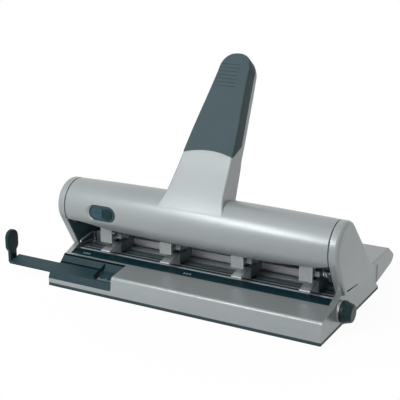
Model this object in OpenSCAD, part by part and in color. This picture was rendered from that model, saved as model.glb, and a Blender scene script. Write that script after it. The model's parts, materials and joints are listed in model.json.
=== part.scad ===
// Adjustable four-hole desk punch: lever hood, sliding punch units, side guide.
// X runs along the lever shaft, Y to the back, Z up; the table surface is Z = 0.

/* [Body] */
// Length of the base along the lever shaft
body_len = 340; // [334:1:380]
// Front face of the base ahead of the origin
base_front = 86; // [85:0.5:96]
// Back edge of the base behind the origin
base_back = 88.5; // [86:0.5:100]
// Thickness of the side walls of the base
side_wall = 6.8; // [6.2:0.1:8]
// Thickness of the top skin of the base
skin = 2.5; // [1.5:0.1:3.5]
// Height of the upright front face of the base
front_h = 24; // [22:0.1:25]
// Height of the top surface of the paper table
table_h = 31.4; // [31:0.1:33]
// Thickness of the floor of the bottom tray
tray_floor = 3.6; // [2:0.1:5]
// Height of the rear deck
deck_h = 40.8; // [39:0.1:44]
// Length of the rear deck behind the origin
deck_back = 142; // [136:1:160]

/* [Lever and hood] */
// Distance of the lever shaft ahead of the origin
shaft_front = 31; // [30:0.2:33]
// Height of the lever shaft
shaft_h = 88.7; // [87:0.1:94]
// Radius of the lever shaft
shaft_r = 5; // [4:0.1:6]
// Outer radius of the hood at its ends
hood_r = 28.4; // [27.8:0.1:29.4]
// Extra radius of the hood at its middle
hood_bow = 2; // [0.5:0.1:2.4]
// Wall thickness of the hood
hood_wall = 2.4; // [1.6:0.1:3]
// Distance from the lever shaft to the line of the plungers
cam_rate = 11; // [10:0.1:11.5]
// Swing of the lever in degrees
lever_swing = 42; // [36:1:44]
// Lean of the handle at rest in degrees
handle_lean = 36; // [30:1:40]
// Length of the handle from the lever shaft
handle_len = 197; // [175:1:220]
// Width of the handle at its root
handle_root_w = 78; // [70:1:86]
// Width of the handle where its round end starts
handle_tip_w = 39; // [36:1:46]
// Thickness of the handle
handle_t = 26.6; // [25:0.2:28]
// Wall thickness of the handle shells
handle_wall = 2.5; // [1.6:0.1:3.5]

/* [Punch units] */
// Pitch of the two holes of a pair
unit_pitch = 80; // [78:1:90]
// Spacing between the two inner units
pair_gap = 90; // [86:1:96]
// Width of a punch unit
unit_w = 15; // [14:0.5:17]
// Radius of a plunger pin
pin_r = 2.75; // [2.5:0.05:3]
// Height of the paper throat
throat_h = 4.6; // [4.2:0.1:5]
// Distance from the hole centre to the paper stop
hole_depth = 12; // [11:0.5:13]
// Wire thickness of the plunger springs
spring_wire = 1.1; // [0.8:0.1:1.3]
// Curls of one plunger spring
spring_curls = 6; // [5:1:7]

/* [Side guide] */
// Length of the guide holder
holder_len = 86.5; // [76:0.5:90]
// Length of the guide bar
bar_len = 146; // [140:1:160]
// Reach of the guide bar past the base
bar_reach = 62; // [50:1:80]
// Width of the guide bar
bar_w = 18.4; // [17:0.2:20]
// Thickness of the guide bar
bar_t = 2.4; // [2:0.1:3]
// Height of the guide stop above the bar
stop_h = 33.5; // [30:0.5:45]

/* [Scale and knob] */
// Radius of the scale drum over its corners
drum_r = 5.6; // [5:0.1:5.8]
// Radius of the knob
knob_r = 11.5; // [9:0.1:12]
// Length of the knob
knob_len = 12.3; // [11:0.1:20]
// Number of grip flutes on the knob
knob_flutes = 12; // [8:1:16]

/* [Fits] */
// Radial clearance of a running fit
run_fit = 0.05; // [0.02:0.01:0.09]
// Clearance between pieces that pass each other
pass_gap = 0.35; // [0.3:0.05:0.5]

/* [Hidden] */
$fn = 64;

silver = "#9AA2A3";
petrol = "#3A4E55";
steel = "#B4BABC";
block_grey = "#A5AAAB";

// Overrun of every cut
over = 1;

// Screw sizes
screw_r = 2;
screw_head_r = 2.9;
screw_head_t = 2;

// Base sizes
half_len = body_len / 2;
inner_half = half_len - side_wall;
front_round = 2.4;
front_round_shares = [0.3, 0.42, 0.6];
strip_front = 50.3;
apron_h = 29.8;
apron_slope = (apron_h - front_h - front_round * front_round_shares[2]) / (base_front - front_round - strip_front);
table_front = 26;
table_back = 56;
table_t = 2;
table_screw_shares = [0.32, 0.79];
table_screw_y = table_back * table_screw_shares;
ledge_w = 7;
ledge_t = 5.4;
rib_t = 3;
rib_place_share = 0.35;
seam_front = 33;
seam_front_h = 36.5;
seam_mid = 12;
seam_h = 33;
tray_wall_h = 9;
tray_wall = 2;
tray_lip_share = 0.2;

// Rear deck: the round back end is given as shares of its length, its height and the skin
deck_front_y = 57;
deck_root = 80;
deck_low = 11;
deck_lip = 1.4;
deck_side = 1;
deck_end_len = 24;
deck_end_h = 23.8;
deck_end_shares = [
    [1, 0, 0, -1], [0.5, 0.2, -0.5, -0.9], [0, 0.61, -1, 0],
    [0.04, 0.78, -1, 0], [0.25, 0.92, -0.6, 0.7], [0.87, 1, 0, 1]
];
deck_toe = 13;
deck_toe_share = 0.12;

// Cheeks: a hull of round discs that shrink towards the rounded outer edge
shaft_y = -shaft_front;
cheek_out = half_len + 4.3;
cheek_edge = 4.2;
foot_r = 10;
disc_t = 0.2;
foot_shares = [[0.41, -1.975], [3.165, -2.254]];
cheek_centres = concat([[shaft_y, shaft_h, hood_r]],
    [for (s = foot_shares) [shaft_y + hood_r * s[0], shaft_h + hood_r * s[1], foot_r]]);
cheek_slices = concat([[inner_half, 0]], [for (a = [0:30:90])
    [cheek_out - cheek_edge * (1 - sin(a)) - disc_t, cheek_edge * (1 - cos(a))]]);
cheek_screw_shares = [-0.28, 1.06];
cheek_screw_y = hood_r * cheek_screw_shares;
screw_reach = 14;
bush_r = 8;
bush_len = 6;

// Rear cover between the cheeks
cover_t = 2;
cover_len = 98;
slot_room = 2;
notch_len = 26;

// Hood and cam
hood_gap = 0.4;
hood_half = inner_half - hood_gap;
hood_end_edge = 34;
hood_front_edge = 57;
hood_edge_spare = 13;
hood_edge_shares = [
    [-0.87, 0.05], [-0.74, 0.38], [-0.6, 0.66], [-0.4, 0.8], [-0.1, 0.87],
    [0.2, 0.97], [0.45, 1], [0.65, 0.84], [0.82, 0.62], [0.94, 0.36]
];
hood_back_edge = 2;
hood_steps = 14;
hood_start = 90 - hood_back_edge;
hood_turn = 180 + hood_back_edge + hood_front_edge + hood_edge_spare;
plate_t = 3;
plate_room_share = 0.1657;
cam_base = 12.5;
cam_gap = 0.1;
cam_hub_r = 10;
cam_steps = 14;
cam_end_gap = 0.8;
spring_room = 13.8;
stroke = cam_rate * lever_swing * PI / 180;
punch_y = shaft_y + cam_rate;

// Handle outlines: widths go from the tip width to the root width along the length
handle_front = hood_r;
handle_edge = 1.5;
handle_end_h = 24;
handle_width_shares = [
    [0, 1], [0.03, 0.99], [0.06, 0.965], [0.095, 0.88], [0.116, 0.755], [0.2, 0.735],
    [0.305, 0.64], [0.5, 0.455], [0.71, 0.195]
];
handle_end_shares = [
    [1, 0], [0.94, 0.34], [0.89, 0.58], [0.8, 0.7], [0.65, 0.82], [0.5, 0.915], [0.26, 0.968], [0, 1]
];
handle_back_shares = [
    [1, -0.72], [0.982, -0.4], [0.95, -0.22], [0.91, -0.08], [0.868, -0.03], [0.77, 0], [0.39, 0],
    [0.343, 0.08], [0.284, 0.124], [0.228, 0.165], [0.155, 0.226], [0, 0.226]
];
grip_split = 16.4;
grip_start_share = 0.38;
arch_r = 150;
arch_tilt = 53.5;
arm_w = 24;
arm_plate = 6;
arm_place = 20;
arm_reach_share = 0.78;
arm_hub_shares = [0.6, 0.2, 1.4];

// Lock places
lock_inset = 51;
lock_x = -(hood_half - lock_inset);
lock_half = 8.75;
lock_r = 8.5;
lock_front = 59.2;
lock_body = 4.2;
lock_pocket = 2.2;
lock_rim = 1.5;
lock_pass = 4;
button_half = 3;
button_rest = 5.4;
button_ridge = 1;
shank_w = 6;
shank_t = 3.4;

// Unit places
row_centre = 9.2;
unit_x = [
    row_centre - pair_gap / 2 - unit_pitch,
    row_centre - pair_gap / 2,
    row_centre + pair_gap / 2,
    row_centre + pair_gap / 2 + unit_pitch
];
plate_inset = plate_room_share * (hood_half - plate_t - unit_x[3] - unit_w / 2);
cam_left = hood_half - plate_inset - plate_t - cam_end_gap;
cam_right = hood_half - plate_inset - plate_t - spring_room;
jaw_t = 12.2;
jaw_low = table_h + pass_gap;
jaw_top = jaw_low + jaw_t;
lip_t = 1.6;
lip_w = 12.3;
lip_front = 47;
lip_drop = 3.9;
arm_low = jaw_top + throat_h;
arm_t = 6;
arm_top = arm_low + arm_t;
arm_neck = 10;
block_half = 5;
spine_t = 10;
spine_front_y = punch_y + hole_depth;
spine_back_y = spine_front_y + spine_t;
spine_top = 64;
cap_pin_r = 2.2;
cap_t = 2.5;
cap_front = 45;
cap_low = 49;
cap_top = shaft_h - (hood_r + hood_bow) * sin(hood_front_edge) - pass_gap;
cap_ribs = 8;
rib_cut = 0.5;
die_r = 4.6;
head_r = 4.8;
head_t = 2.1;
head_top = shaft_h - cam_base - cam_gap;
tip_z = arm_low + pass_gap;
slot_half = 5;
rod_r = 3;
rod_end = 4;
rod_y = spine_front_y + spine_t / 2;
rod_h = 57;
rail_t = 7;
rail_top = 41.5;
rail_foot = 2.6;

// Guide places: the deck of the holder falls towards the front
holder_low = 9;
holder_back = 54;
holder_step = 62.4;
holder_step_h = 21.3;
holder_front_deck = 82.8;
holder_front_h = 16.9;
holder_nose_h = 10.6;
bar_back = 62.5;
bar_back_h = 20;
bar_slope = (holder_step_h - holder_front_h) / (holder_front_deck - holder_step);
window_w = 12;
window_d = 13;
window_place = 12;
window_back = 2;
stop_t = 4.6;
stop_w = 19;
neck_w = 11;
neck_h = 12;

// Scale places
drum_y = -(strip_front + table_front) / 2;
drum_h = 21;
drum_shaft_r = 3;
drum_end_gap = 3;
drum_half = inner_half - ledge_w - drum_end_gap;
strip_t = 2.6;
collar_r = 11.8;
collar_t = 3.6;
knob_from = half_len + collar_t + pass_gap;
knob_flange_t = 3;
knob_grip_share = 0.93;
knob_shaft_share = 0.7;
knob_shaft_end = knob_from + knob_len * knob_shaft_share;
flute_r = 1.5;

// Spring places
rings_per_curl = 8;
tube_sides = 6;
coil_gap = 1.6;
spring_r = pin_r + coil_gap;
spring_low = arm_top;
spring_high = head_top - head_t;
return_wire = 1.6;
return_r = 8.4;
return_curls = 4;
return_pitch = 2.2;
return_leg_r = 28.6;
return_leg_y = shaft_y + 2.2;

// Turns an outline drawn as (y, z) into a bar along X between two places.
module along_x(from, to) {
    translate([from, 0, 0]) rotate([90, 0, 90]) linear_extrude(height = to - from) children();
}

module rod_x(from, to, y, z, r) {
    translate([from, y, z]) rotate([0, 90, 0]) cylinder(r = r, h = to - from);
}

module box(from, to) {
    translate(from) cube(to - from);
}

module on_side(side) {
    mirror([side < 0 ? 1 : 0, 0, 0]) children();
}

// Outline of the sides of the base, front bottom corner first.
function base_outline() = [
    [-base_front, tray_floor],
    [-base_front, front_h],
    [-base_front + front_round * front_round_shares[0], front_h + front_round * front_round_shares[1]],
    [-base_front + front_round, front_h + front_round * front_round_shares[2]],
    [-strip_front, apron_h],
    [-seam_front, seam_front_h],
    [seam_mid, seam_h],
    [deck_root, seam_h],
    [deck_root, deck_low],
    [base_back, tray_floor]
];

// Hollow under the top skin, open above the trough of the mechanism.
function base_hollow() = [
    [-base_front + skin, -over],
    [-base_front + skin, front_h - skin / 2],
    [-base_front + front_round, front_h + front_round * front_round_shares[2] - skin],
    [-strip_front, apron_h - skin],
    [-strip_front, seam_front_h + over],
    [deck_root - skin, seam_front_h + over],
    [deck_root - skin, deck_low - skin / 2],
    [base_back - 2 * skin, tray_floor],
    [base_back - 2 * skin, -over]
];

function table_screw_places() = [
    for (side = [-1, 1], y = table_screw_y) [side * (inner_half - ledge_w / 2), y]
];

module table_ledge() {
    box([inner_half - ledge_w, -table_front, table_h - table_t - ledge_t],
        [inner_half + over, table_back, table_h - table_t]);
    box([inner_half - ledge_w, -strip_front - over, apron_h - strip_t - ledge_t / 2],
        [inner_half + over, -table_front, apron_h - strip_t]);
}

module table_rib(x) {
    box([x - rib_t / 2, punch_y + slot_half + over, deck_low + skin],
        [x + rib_t / 2, deck_root - skin / 2, table_h - table_t]);
}

module base_shell() color(silver) difference() {
    union() {
        difference() {
            along_x(-half_len, half_len) polygon(base_outline());
            along_x(-inner_half, inner_half) polygon(base_hollow());
        }
        for (side = [-1, 1]) {
            on_side(side) table_ledge();
            table_rib(side * rib_place_share * body_len);
        }
    }
    box([-half_len - over, -base_front - over, holder_low],
        [-half_len + holder_len, -holder_back, table_h + over]);
    rod_x(-half_len + side_wall / 2, half_len + over, drum_y, drum_h, drum_shaft_r + run_fit);
    for (side = [-1, 1], y = cheek_screw_y) translate([side * (half_len - side_wall / 2), y, 0]) {
        cylinder(r = screw_r + run_fit, h = seam_front_h + over);
        cylinder(r = screw_head_r + run_fit, h = deck_low);
    }
    for (p = table_screw_places())
        translate([p[0], p[1], table_h - table_t - ledge_t - over])
            cylinder(r = screw_r + run_fit, h = ledge_t + 2 * over);
}

module bottom_tray() color("#2A3B3E") difference() {
    union() {
        box([-half_len, -base_front - skin * tray_lip_share, 0],
            [half_len, base_back + skin * tray_lip_share, tray_floor]);
        box([-inner_half + pass_gap, -base_front + skin + pass_gap, 0],
            [inner_half - pass_gap, deck_root - skin - pass_gap, tray_wall_h]);
    }
    box([-inner_half + pass_gap + tray_wall, -base_front + skin + pass_gap + tray_wall, tray_floor - tray_wall / 2],
        [inner_half - pass_gap - tray_wall, deck_root - skin - pass_gap - tray_wall, tray_wall_h + over]);
}

module cheek_solid() difference() {
    hull() for (s = cheek_slices, c = cheek_centres)
        rod_x(s[0], s[0] + disc_t, c[0], c[1], c[2] - s[1], $fn = 48);
    along_x(0, cheek_out + over) polygon([
        [-base_front, 0], [-base_front, seam_front_h], [-seam_front, seam_front_h],
        [seam_mid, seam_h], [deck_root + over, seam_h], [deck_root + over, 0]
    ]);
    box([0, deck_front_y, 0], [cheek_out + over, deck_back, shaft_h]);
    rod_x(inner_half - over, inner_half + bush_len + pass_gap, shaft_y, shaft_h, bush_r + run_fit);
    rod_x(inner_half - over, inner_half + rod_end, rod_y, rod_h, rod_r + run_fit);
    for (y = cheek_screw_y)
        translate([half_len - side_wall / 2, y, seam_h - over])
            cylinder(r = screw_r + run_fit, h = screw_reach + over);
}

module left_cheek() color(silver) mirror([1, 0, 0]) cheek_solid();

module right_cheek() color(silver) cheek_solid();

// Frame of the back cover: Z is its normal through the lever shaft.
module back_frame() {
    translate([0, shaft_y, shaft_h]) rotate([-45, 0, 0]) children();
}

module rear_cover() color(silver) difference() {
    back_frame() box([-inner_half + pass_gap / 3, 0, hood_r - cover_t],
        [inner_half - pass_gap / 3, cover_len, hood_r]);
    rod_x(-half_len, half_len, shaft_y, shaft_h, hood_r + hood_bow + pass_gap);
    back_frame() box([-handle_root_w / 2 - slot_room, -over, hood_r - cover_t - over],
        [handle_root_w / 2 + slot_room, notch_len, hood_r + over]);
    box([-half_len, deck_front_y, 0], [half_len, deck_back, shaft_h]);
}

function deck_outline(inset) = concat(
    [[deck_front_y, seam_h], [deck_front_y, deck_h - deck_lip - inset],
        [deck_front_y + 2 * deck_lip, deck_h - inset]],
    [for (s = deck_end_shares)
        [deck_back - s[0] * deck_end_len + s[2] * inset, deck_h - s[1] * deck_end_h + s[3] * inset]],
    [[deck_root + deck_toe, deck_low + deck_toe * deck_toe_share + inset],
        [deck_root, deck_low + inset], [deck_root, seam_h]]);

module rear_deck() color(silver) difference() {
    along_x(-half_len - deck_side, half_len + deck_side) polygon(deck_outline(0));
    along_x(-inner_half, inner_half) polygon(deck_outline(skin));
    box([-inner_half, deck_front_y - over, seam_h - over], [inner_half, deck_root + over, deck_h - skin]);
}

module paper_table() color(steel) difference() {
    box([-inner_half + pass_gap, -table_front, table_h - table_t],
        [inner_half - pass_gap, table_back, table_h]);
    box([-inner_half + ledge_w, punch_y - slot_half / 2 - pass_gap, table_h - table_t - over],
        [inner_half - ledge_w, punch_y + slot_half / 2 + pass_gap, table_h + over]);
    for (p = table_screw_places())
        translate([p[0], p[1], table_h - table_t - over])
            cylinder(r = screw_r + run_fit, h = table_t + 2 * over);
}

module scale_strip() color("#1E3A40") along_x(-inner_half + pass_gap, inner_half - pass_gap) polygon([
    [-strip_front + pass_gap, apron_h - strip_t],
    [-strip_front + pass_gap, apron_h],
    [-table_front - pass_gap, table_h - pass_gap],
    [-table_front - pass_gap, apron_h - strip_t]
]);

module scale_drum() color("#D8DBD6") difference() {
    translate([-drum_half, drum_y, drum_h]) rotate([0, 90, 0])
        cylinder(r = drum_r, h = 2 * drum_half, $fn = 8);
    rod_x(-half_len, half_len, drum_y, drum_h, drum_shaft_r + run_fit);
}

module knob_shaft() color(steel)
    rod_x(-half_len + side_wall / 2 + pass_gap, knob_shaft_end, drum_y, drum_h, drum_shaft_r);

module knob() color("#22343A") difference() {
    union() {
        rod_x(knob_from, knob_from + knob_flange_t, drum_y, drum_h, knob_r);
        rod_x(knob_from, knob_from + knob_len, drum_y, drum_h, knob_r * knob_grip_share);
    }
    rod_x(half_len, knob_shaft_end + pass_gap, drum_y, drum_h, drum_shaft_r + run_fit);
    for (i = [0:knob_flutes - 1])
        translate([knob_from + knob_flange_t + pass_gap, drum_y, drum_h]) rotate([i * 360 / knob_flutes, 0, 0])
            rod_x(0, knob_len, 0, knob_r, flute_r);
}

module knob_collar() color(silver) difference() {
    rod_x(half_len, half_len + collar_t, drum_y, drum_h, collar_r);
    rod_x(half_len - over, half_len + collar_t + over, drum_y, drum_h, drum_shaft_r + run_fit);
}

module rear_rail() color(steel) difference() {
    box([-inner_half + pass_gap, spine_back_y + pass_gap, table_h],
        [inner_half - pass_gap, spine_back_y + pass_gap + rail_t, rail_top]);
    box([-inner_half + ledge_w, spine_back_y, table_h - over],
        [inner_half - ledge_w, spine_back_y + pass_gap + rail_t / 2, table_h + rail_foot]);
}

module guide_rod() color(steel)
    rod_x(-inner_half - rod_end + pass_gap, inner_half + rod_end - pass_gap, rod_y, rod_h, rod_r);

function holder_outline() = [
    [-base_front, holder_low],
    [-base_front, holder_nose_h],
    [-holder_front_deck, holder_front_h],
    [-holder_step, holder_step_h],
    [-holder_back, apron_h - (holder_back - strip_front) * apron_slope],
    [-holder_back, holder_low]
];

function bar_outline(grow) = [
    [-bar_back - bar_w - grow, bar_back_h - bar_t - bar_w * bar_slope - grow],
    [-bar_back - bar_w - grow, bar_back_h - bar_w * bar_slope + grow],
    [-bar_back + grow, bar_back_h + grow],
    [-bar_back + grow, bar_back_h - bar_t - grow]
];

module guide_holder() color(petrol) difference() {
    along_x(-half_len, -half_len + holder_len - pass_gap) polygon(holder_outline());
    along_x(-half_len - over, -half_len + holder_len + over) polygon(bar_outline(pass_gap));
    box([-half_len + holder_len - window_place - window_w, -bar_back - window_d - window_back, holder_low + bar_t],
        [-half_len + holder_len - window_place, -bar_back - window_back, table_h]);
}

module guide_bar() color(petrol)
    along_x(-half_len - bar_reach, -half_len - bar_reach + bar_len) polygon(bar_outline(0));

module guide_stop() color("#1C333A") {
    y = -bar_back - bar_w / 2;
    low = bar_back_h - bar_t - bar_w * bar_slope;
    from = -half_len - bar_reach - stop_t;
    rod_x(from, from + stop_t, y, bar_back_h + stop_h - stop_w / 2, stop_w / 2);
    rod_x(from, from + stop_t, y, low + neck_h + stop_w / 2, stop_w / 2);
    box([from, y - stop_w / 2, low + neck_h + stop_w / 2],
        [from + stop_t, y + stop_w / 2, bar_back_h + stop_h - stop_w / 2]);
    box([from, y - neck_w / 2, low], [from + stop_t, y + neck_w / 2, low + neck_h + stop_w / 2]);
}

module shaft_bushes() color("#9A7B4F") for (side = [-1, 1]) on_side(side) difference() {
    rod_x(inner_half, inner_half + bush_len, shaft_y, shaft_h, bush_r);
    rod_x(inner_half - over, inner_half + bush_len + over, shaft_y, shaft_h, shaft_r + run_fit);
}

module cheek_screws() color(steel) for (side = [-1, 1], y = cheek_screw_y)
    translate([side * (half_len - side_wall / 2), y, deck_low - screw_head_t]) {
        cylinder(r = screw_head_r, h = screw_head_t);
        cylinder(r = screw_r, h = seam_h + screw_reach / 2 - deck_low);
    }

module table_screws() color(steel) for (p = table_screw_places()) translate([p[0], p[1], table_h]) {
    cylinder(r = screw_head_r, h = screw_head_t);
    translate([0, 0, -table_t - ledge_t]) cylinder(r = screw_r, h = table_t + ledge_t + over);
}

// Sweeps a six-sided tube along a list of points; frames stay square to the path.
function unit_vec(v) = v / norm(v);
function path_dir(p, i) = unit_vec(p[min(i + 1, len(p) - 1)] - p[max(i - 1, 0)]);
function carry(n, t) = unit_vec(n - t * (n * t));
function path_frames(p, n, i, out) = i == len(p) ? out
    : path_frames(p, carry(n, path_dir(p, i)), i + 1, concat(out, [carry(n, path_dir(p, i))]));

module tube(p, r, n0) {
    frames = path_frames(p, n0, 0, []);
    rings = [for (i = [0:len(p) - 1]) let (t = path_dir(p, i), n = frames[i], b = cross(t, n))
        for (k = [0:tube_sides - 1])
            p[i] + r * (n * cos(k * 360 / tube_sides) + b * sin(k * 360 / tube_sides))];
    sides = [for (i = [0:len(p) - 2], k = [0:tube_sides - 1]) let (
        a = i * tube_sides + k, b = i * tube_sides + (k + 1) % tube_sides)
        each [[a, b, b + tube_sides], [a, b + tube_sides, a + tube_sides]]];
    last = (len(p) - 1) * tube_sides;
    caps = [for (k = [1:tube_sides - 2]) each [[0, k + 1, k], [last, last + k, last + k + 1]]];
    polyhedron(points = rings, faces = [for (f = concat(sides, caps)) [f[0], f[2], f[1]]]);
}

// Least distance between stretches of one path that are half a curl or more apart.
function least_gap(p, wire) = min([for (i = [0:len(p) - 1], j = [i + rings_per_curl - 2:len(p) - 1])
    if (j > i) norm(p[i] - p[j])]) - wire;

// Plunger spring: straight upright ends, curls between them.
function spring_path() = let (
    run = spring_high - spring_low - 4 * spring_wire,
    n = spring_curls * rings_per_curl) concat(
    [[spring_r, 0, spring_low], [spring_r, 0, spring_low + spring_wire]],
    [for (i = [1:n - 1]) let (a = i * 360 / rings_per_curl)
        [spring_r * cos(a), spring_r * sin(a), spring_low + 2 * spring_wire + run * i / n]],
    [[spring_r, 0, spring_high - spring_wire], [spring_r, 0, spring_high]]);

// Lever return spring: one end on the cam bar, the other in the right cheek.
function return_path() = let (
    x0 = cam_right,
    n = (return_curls + 1 / 4) * rings_per_curl,
    x1 = x0 + 2 * return_wire + n / rings_per_curl * return_pitch,
    leg_z = shaft_h - return_leg_r) concat(
    [[x0, shaft_y - return_r, shaft_h], [x0 + return_wire, shaft_y - return_r, shaft_h]],
    [for (i = [1:n]) let (a = 180 + i * 360 / rings_per_curl)
        [x0 + 2 * return_wire + return_pitch * i / rings_per_curl,
            shaft_y + return_r * cos(a), shaft_h + return_r * sin(a)]],
    [[x1, shaft_y + return_wire, shaft_h - return_r - return_wire],
        [x1, return_leg_y, leg_z + 2 * return_wire],
        [x1 + return_wire, return_leg_y, leg_z],
        [inner_half - return_wire, return_leg_y, leg_z],
        [inner_half, return_leg_y, leg_z]]);

module return_spring() color(steel) tube(return_path(), return_wire / 2, [0, 1, 0]);

module unit_spring(i) color("#5E6669") translate([unit_x[i], punch_y, 0])
    tube(spring_path(), spring_wire / 2, [1, 0, 0]);

echo(plunger_spring_gap = least_gap(spring_path(), spring_wire));
echo(return_spring_gap = least_gap(return_path(), return_wire));
echo(stroke = stroke, head_top = head_top, spring_fixed_end = spring_low, tip = tip_z);

// Hood radius along X: a shallow crown.
function hood_radius(x) = hood_r + hood_bow * (1 - pow(x / hood_half, 2));
function hood_place(i) = hood_half * (2 * i / hood_steps - 1);

// Front lower edge of the hood as (X, height), with what lies under it.
function hood_edge_cut() = let (
    top = shaft_h - hood_r * sin(hood_end_edge),
    drop = top - shaft_h + (hood_r + hood_bow) * sin(hood_front_edge)) concat(
    [[-hood_half - over, 0], [-hood_half - over, top]],
    [for (s = hood_edge_shares) [hood_half * s[0], top - drop * s[1]]],
    [[hood_half + over, top], [hood_half + over, 0]]);

module hood_shell() color(silver) difference() {
    translate([0, shaft_y, shaft_h]) rotate([0, 90, 0]) rotate([0, 0, hood_start])
        rotate_extrude(angle = hood_turn, $fn = 96) polygon(concat(
            [for (i = [0:hood_steps]) [hood_radius(hood_place(i)), hood_place(i)]],
            [for (i = [hood_steps:-1:0]) [hood_radius(hood_place(i)) - hood_wall, hood_place(i)]]));
    handle_frame() box([-arm_w / 2 - pass_gap, -arm_place - pass_gap, cam_hub_r],
        [arm_w / 2 + pass_gap, -arm_place + arm_plate + pass_gap, hood_r + hood_bow + over]);
    lock_oval(lock_half, lock_r + run_fit, lock_front + lock_pass, lock_front - lock_body - lock_pass);
    translate([0, shaft_y, 0]) rotate([90, 0, 0])
        linear_extrude(height = hood_r + hood_bow + over) polygon(hood_edge_cut());
}

module hood_plate(side) color("#8B9294") difference() {
    from = hood_half - plate_inset - plate_t;
    on_side(side) rod_x(from, from + plate_t, shaft_y, shaft_h, hood_r - hood_wall - pass_gap / 2);
    rod_x(-half_len, half_len, shaft_y, shaft_h, shaft_r + run_fit);
}

module lever_shaft() color(steel)
    rod_x(-inner_half - bush_len + pass_gap, inner_half + bush_len - pass_gap, shaft_y, shaft_h, shaft_r);

// Cam outline: its lowest point drops evenly with the angle of the lever.
function cam_point(a) = let (h = cam_base + cam_rate * a * PI / 180)
    [h * sin(a) + cam_rate * cos(a), -h * cos(a) + cam_rate * sin(a)];
function cam_outline() = concat(
    [[0, 0], [0, -cam_hub_r]],
    [for (i = [0:cam_steps]) cam_point(i * lever_swing / cam_steps)],
    [[cam_rate, cam_hub_r / 2]]
);

module cam_bar() color("#6E7679") difference() {
    union() {
        along_x(-cam_left, cam_right) translate([shaft_y, shaft_h]) polygon(cam_outline());
        rod_x(-cam_left, cam_right, shaft_y, shaft_h, cam_hub_r);
    }
    rod_x(-half_len, half_len, shaft_y, shaft_h, shaft_r + run_fit);
}

// Handle frame: Z runs up the handle, Y is its back normal.
module handle_frame() {
    translate([0, shaft_y, shaft_h]) rotate([-handle_lean, 0, 0]) children();
}

module handle_arm() color(steel) difference() {
    handle_frame() {
        box([-arm_w / 2, -arm_place, cam_hub_r], [arm_w / 2, -arm_place + arm_plate, handle_len * arm_reach_share]);
        box([-arm_w / 2, -arm_place, cam_hub_r * arm_hub_shares[0]],
            [arm_w / 2, -cam_hub_r * arm_hub_shares[1], cam_hub_r * arm_hub_shares[2]]);
    }
    rod_x(-half_len, half_len, shaft_y, shaft_h, cam_hub_r + run_fit);
}

// Side view of the handle as (back normal, height): flat front, round back of the end, flared root.
function handle_side(inset) = let (front = -handle_front + inset, back = -handle_front + handle_t - inset) concat(
    [[front, 0], [front, handle_len - handle_edge - inset], [front + handle_edge, handle_len - inset]],
    [for (s = handle_back_shares)
        [back + handle_t * s[1], min(handle_len * s[0], handle_len - inset)]]);

// One half of the front view of the handle as (X, height).
function handle_half(inset) = let (tip = handle_tip_w / 2, root = handle_root_w / 2) concat(
    [for (s = handle_width_shares) [tip + (root - tip) * s[1] - inset, handle_len * s[0]]],
    [for (s = handle_end_shares)
        [(tip - inset) * s[0], handle_len - handle_end_h + (handle_end_h - inset) * s[1]]]);
function handle_front_view(inset) = let (p = handle_half(inset)) concat(
    p, [for (i = [len(p) - 2:-1:0]) [-p[i][0], p[i][1]]]);

module handle_volume(inset) handle_frame() intersection() {
    along_x(-handle_root_w / 2, handle_root_w / 2) polygon(handle_side(inset));
    translate([0, handle_len, 0]) rotate([90, 0, 0])
        linear_extrude(height = 2 * handle_len) polygon(handle_front_view(inset));
}

// The seat on the hood is cut to the crown, which is nearly flat under the handle.
module handle_hollow_shell() difference() {
    handle_volume(0);
    handle_volume(handle_wall);
    rod_x(-half_len, half_len, shaft_y, shaft_h, hood_r + hood_bow + run_fit, $fn = 96);
}

// Space of the grip: the front part of the handle above a tilted arch.
module grip_zone() handle_frame() difference() {
    box([-handle_root_w, -handle_front - over, 0],
        [handle_root_w, -handle_front + grip_split, handle_len + over]);
    translate([0, -handle_front, handle_len * grip_start_share]) rotate([arch_tilt - 90, 0, 0])
        translate([0, arch_r, -handle_len]) cylinder(r = arch_r, h = 2 * handle_len, $fn = 128);
}

module handle_shell() color(silver) difference() {
    handle_hollow_shell();
    grip_zone();
}

module handle_grip() color("#56646A") intersection() {
    handle_hollow_shell();
    grip_zone();
}

// Oval lying in a plane square to Y, drawn around the lock place.
module lock_oval(half, r, front, back, shift = 0) {
    for (e = [-1, 1])
        translate([lock_x + shift + e * half, -front, shaft_h]) rotate([-90, 0, 0]) cylinder(r = r, h = front - back);
    box([lock_x + shift - half, -front, shaft_h - r], [lock_x + shift + half, -back, shaft_h + r]);
}

module lock_bezel() color("#2F454C") difference() {
    lock_oval(lock_half, lock_r, lock_front, lock_front - lock_body);
    lock_oval(lock_half, lock_r - lock_rim, lock_front + over, lock_front - lock_pocket);
    box([lock_x - lock_half, -lock_front, shaft_h - shank_t / 2 - pass_gap],
        [lock_x + lock_half, -lock_front + lock_body + over, shaft_h + shank_t / 2 + pass_gap]);
}

module lock_button() color("#1C2E35") {
    x = lock_x + button_rest;
    lock_oval(button_half, lock_r - lock_rim - pass_gap, lock_front - run_fit, lock_front - lock_pocket + pass_gap, button_rest);
    box([x - button_half - button_ridge, -lock_front - button_ridge, shaft_h - lock_r / 2],
        [x - button_half + button_ridge, -lock_front + button_ridge, shaft_h + lock_r / 2]);
    box([x - shank_w / 2, -lock_front + lock_pocket / 2, shaft_h - shank_t / 2],
        [x + shank_w / 2, -lock_front + lock_body + shank_t, shaft_h + shank_t / 2]);
    box([x - shank_w / 2, -lock_front + lock_body + pass_gap, shaft_h - shank_w],
        [x + shank_w / 2, -lock_front + lock_body + shank_t, shaft_h + shank_w]);
}

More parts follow.
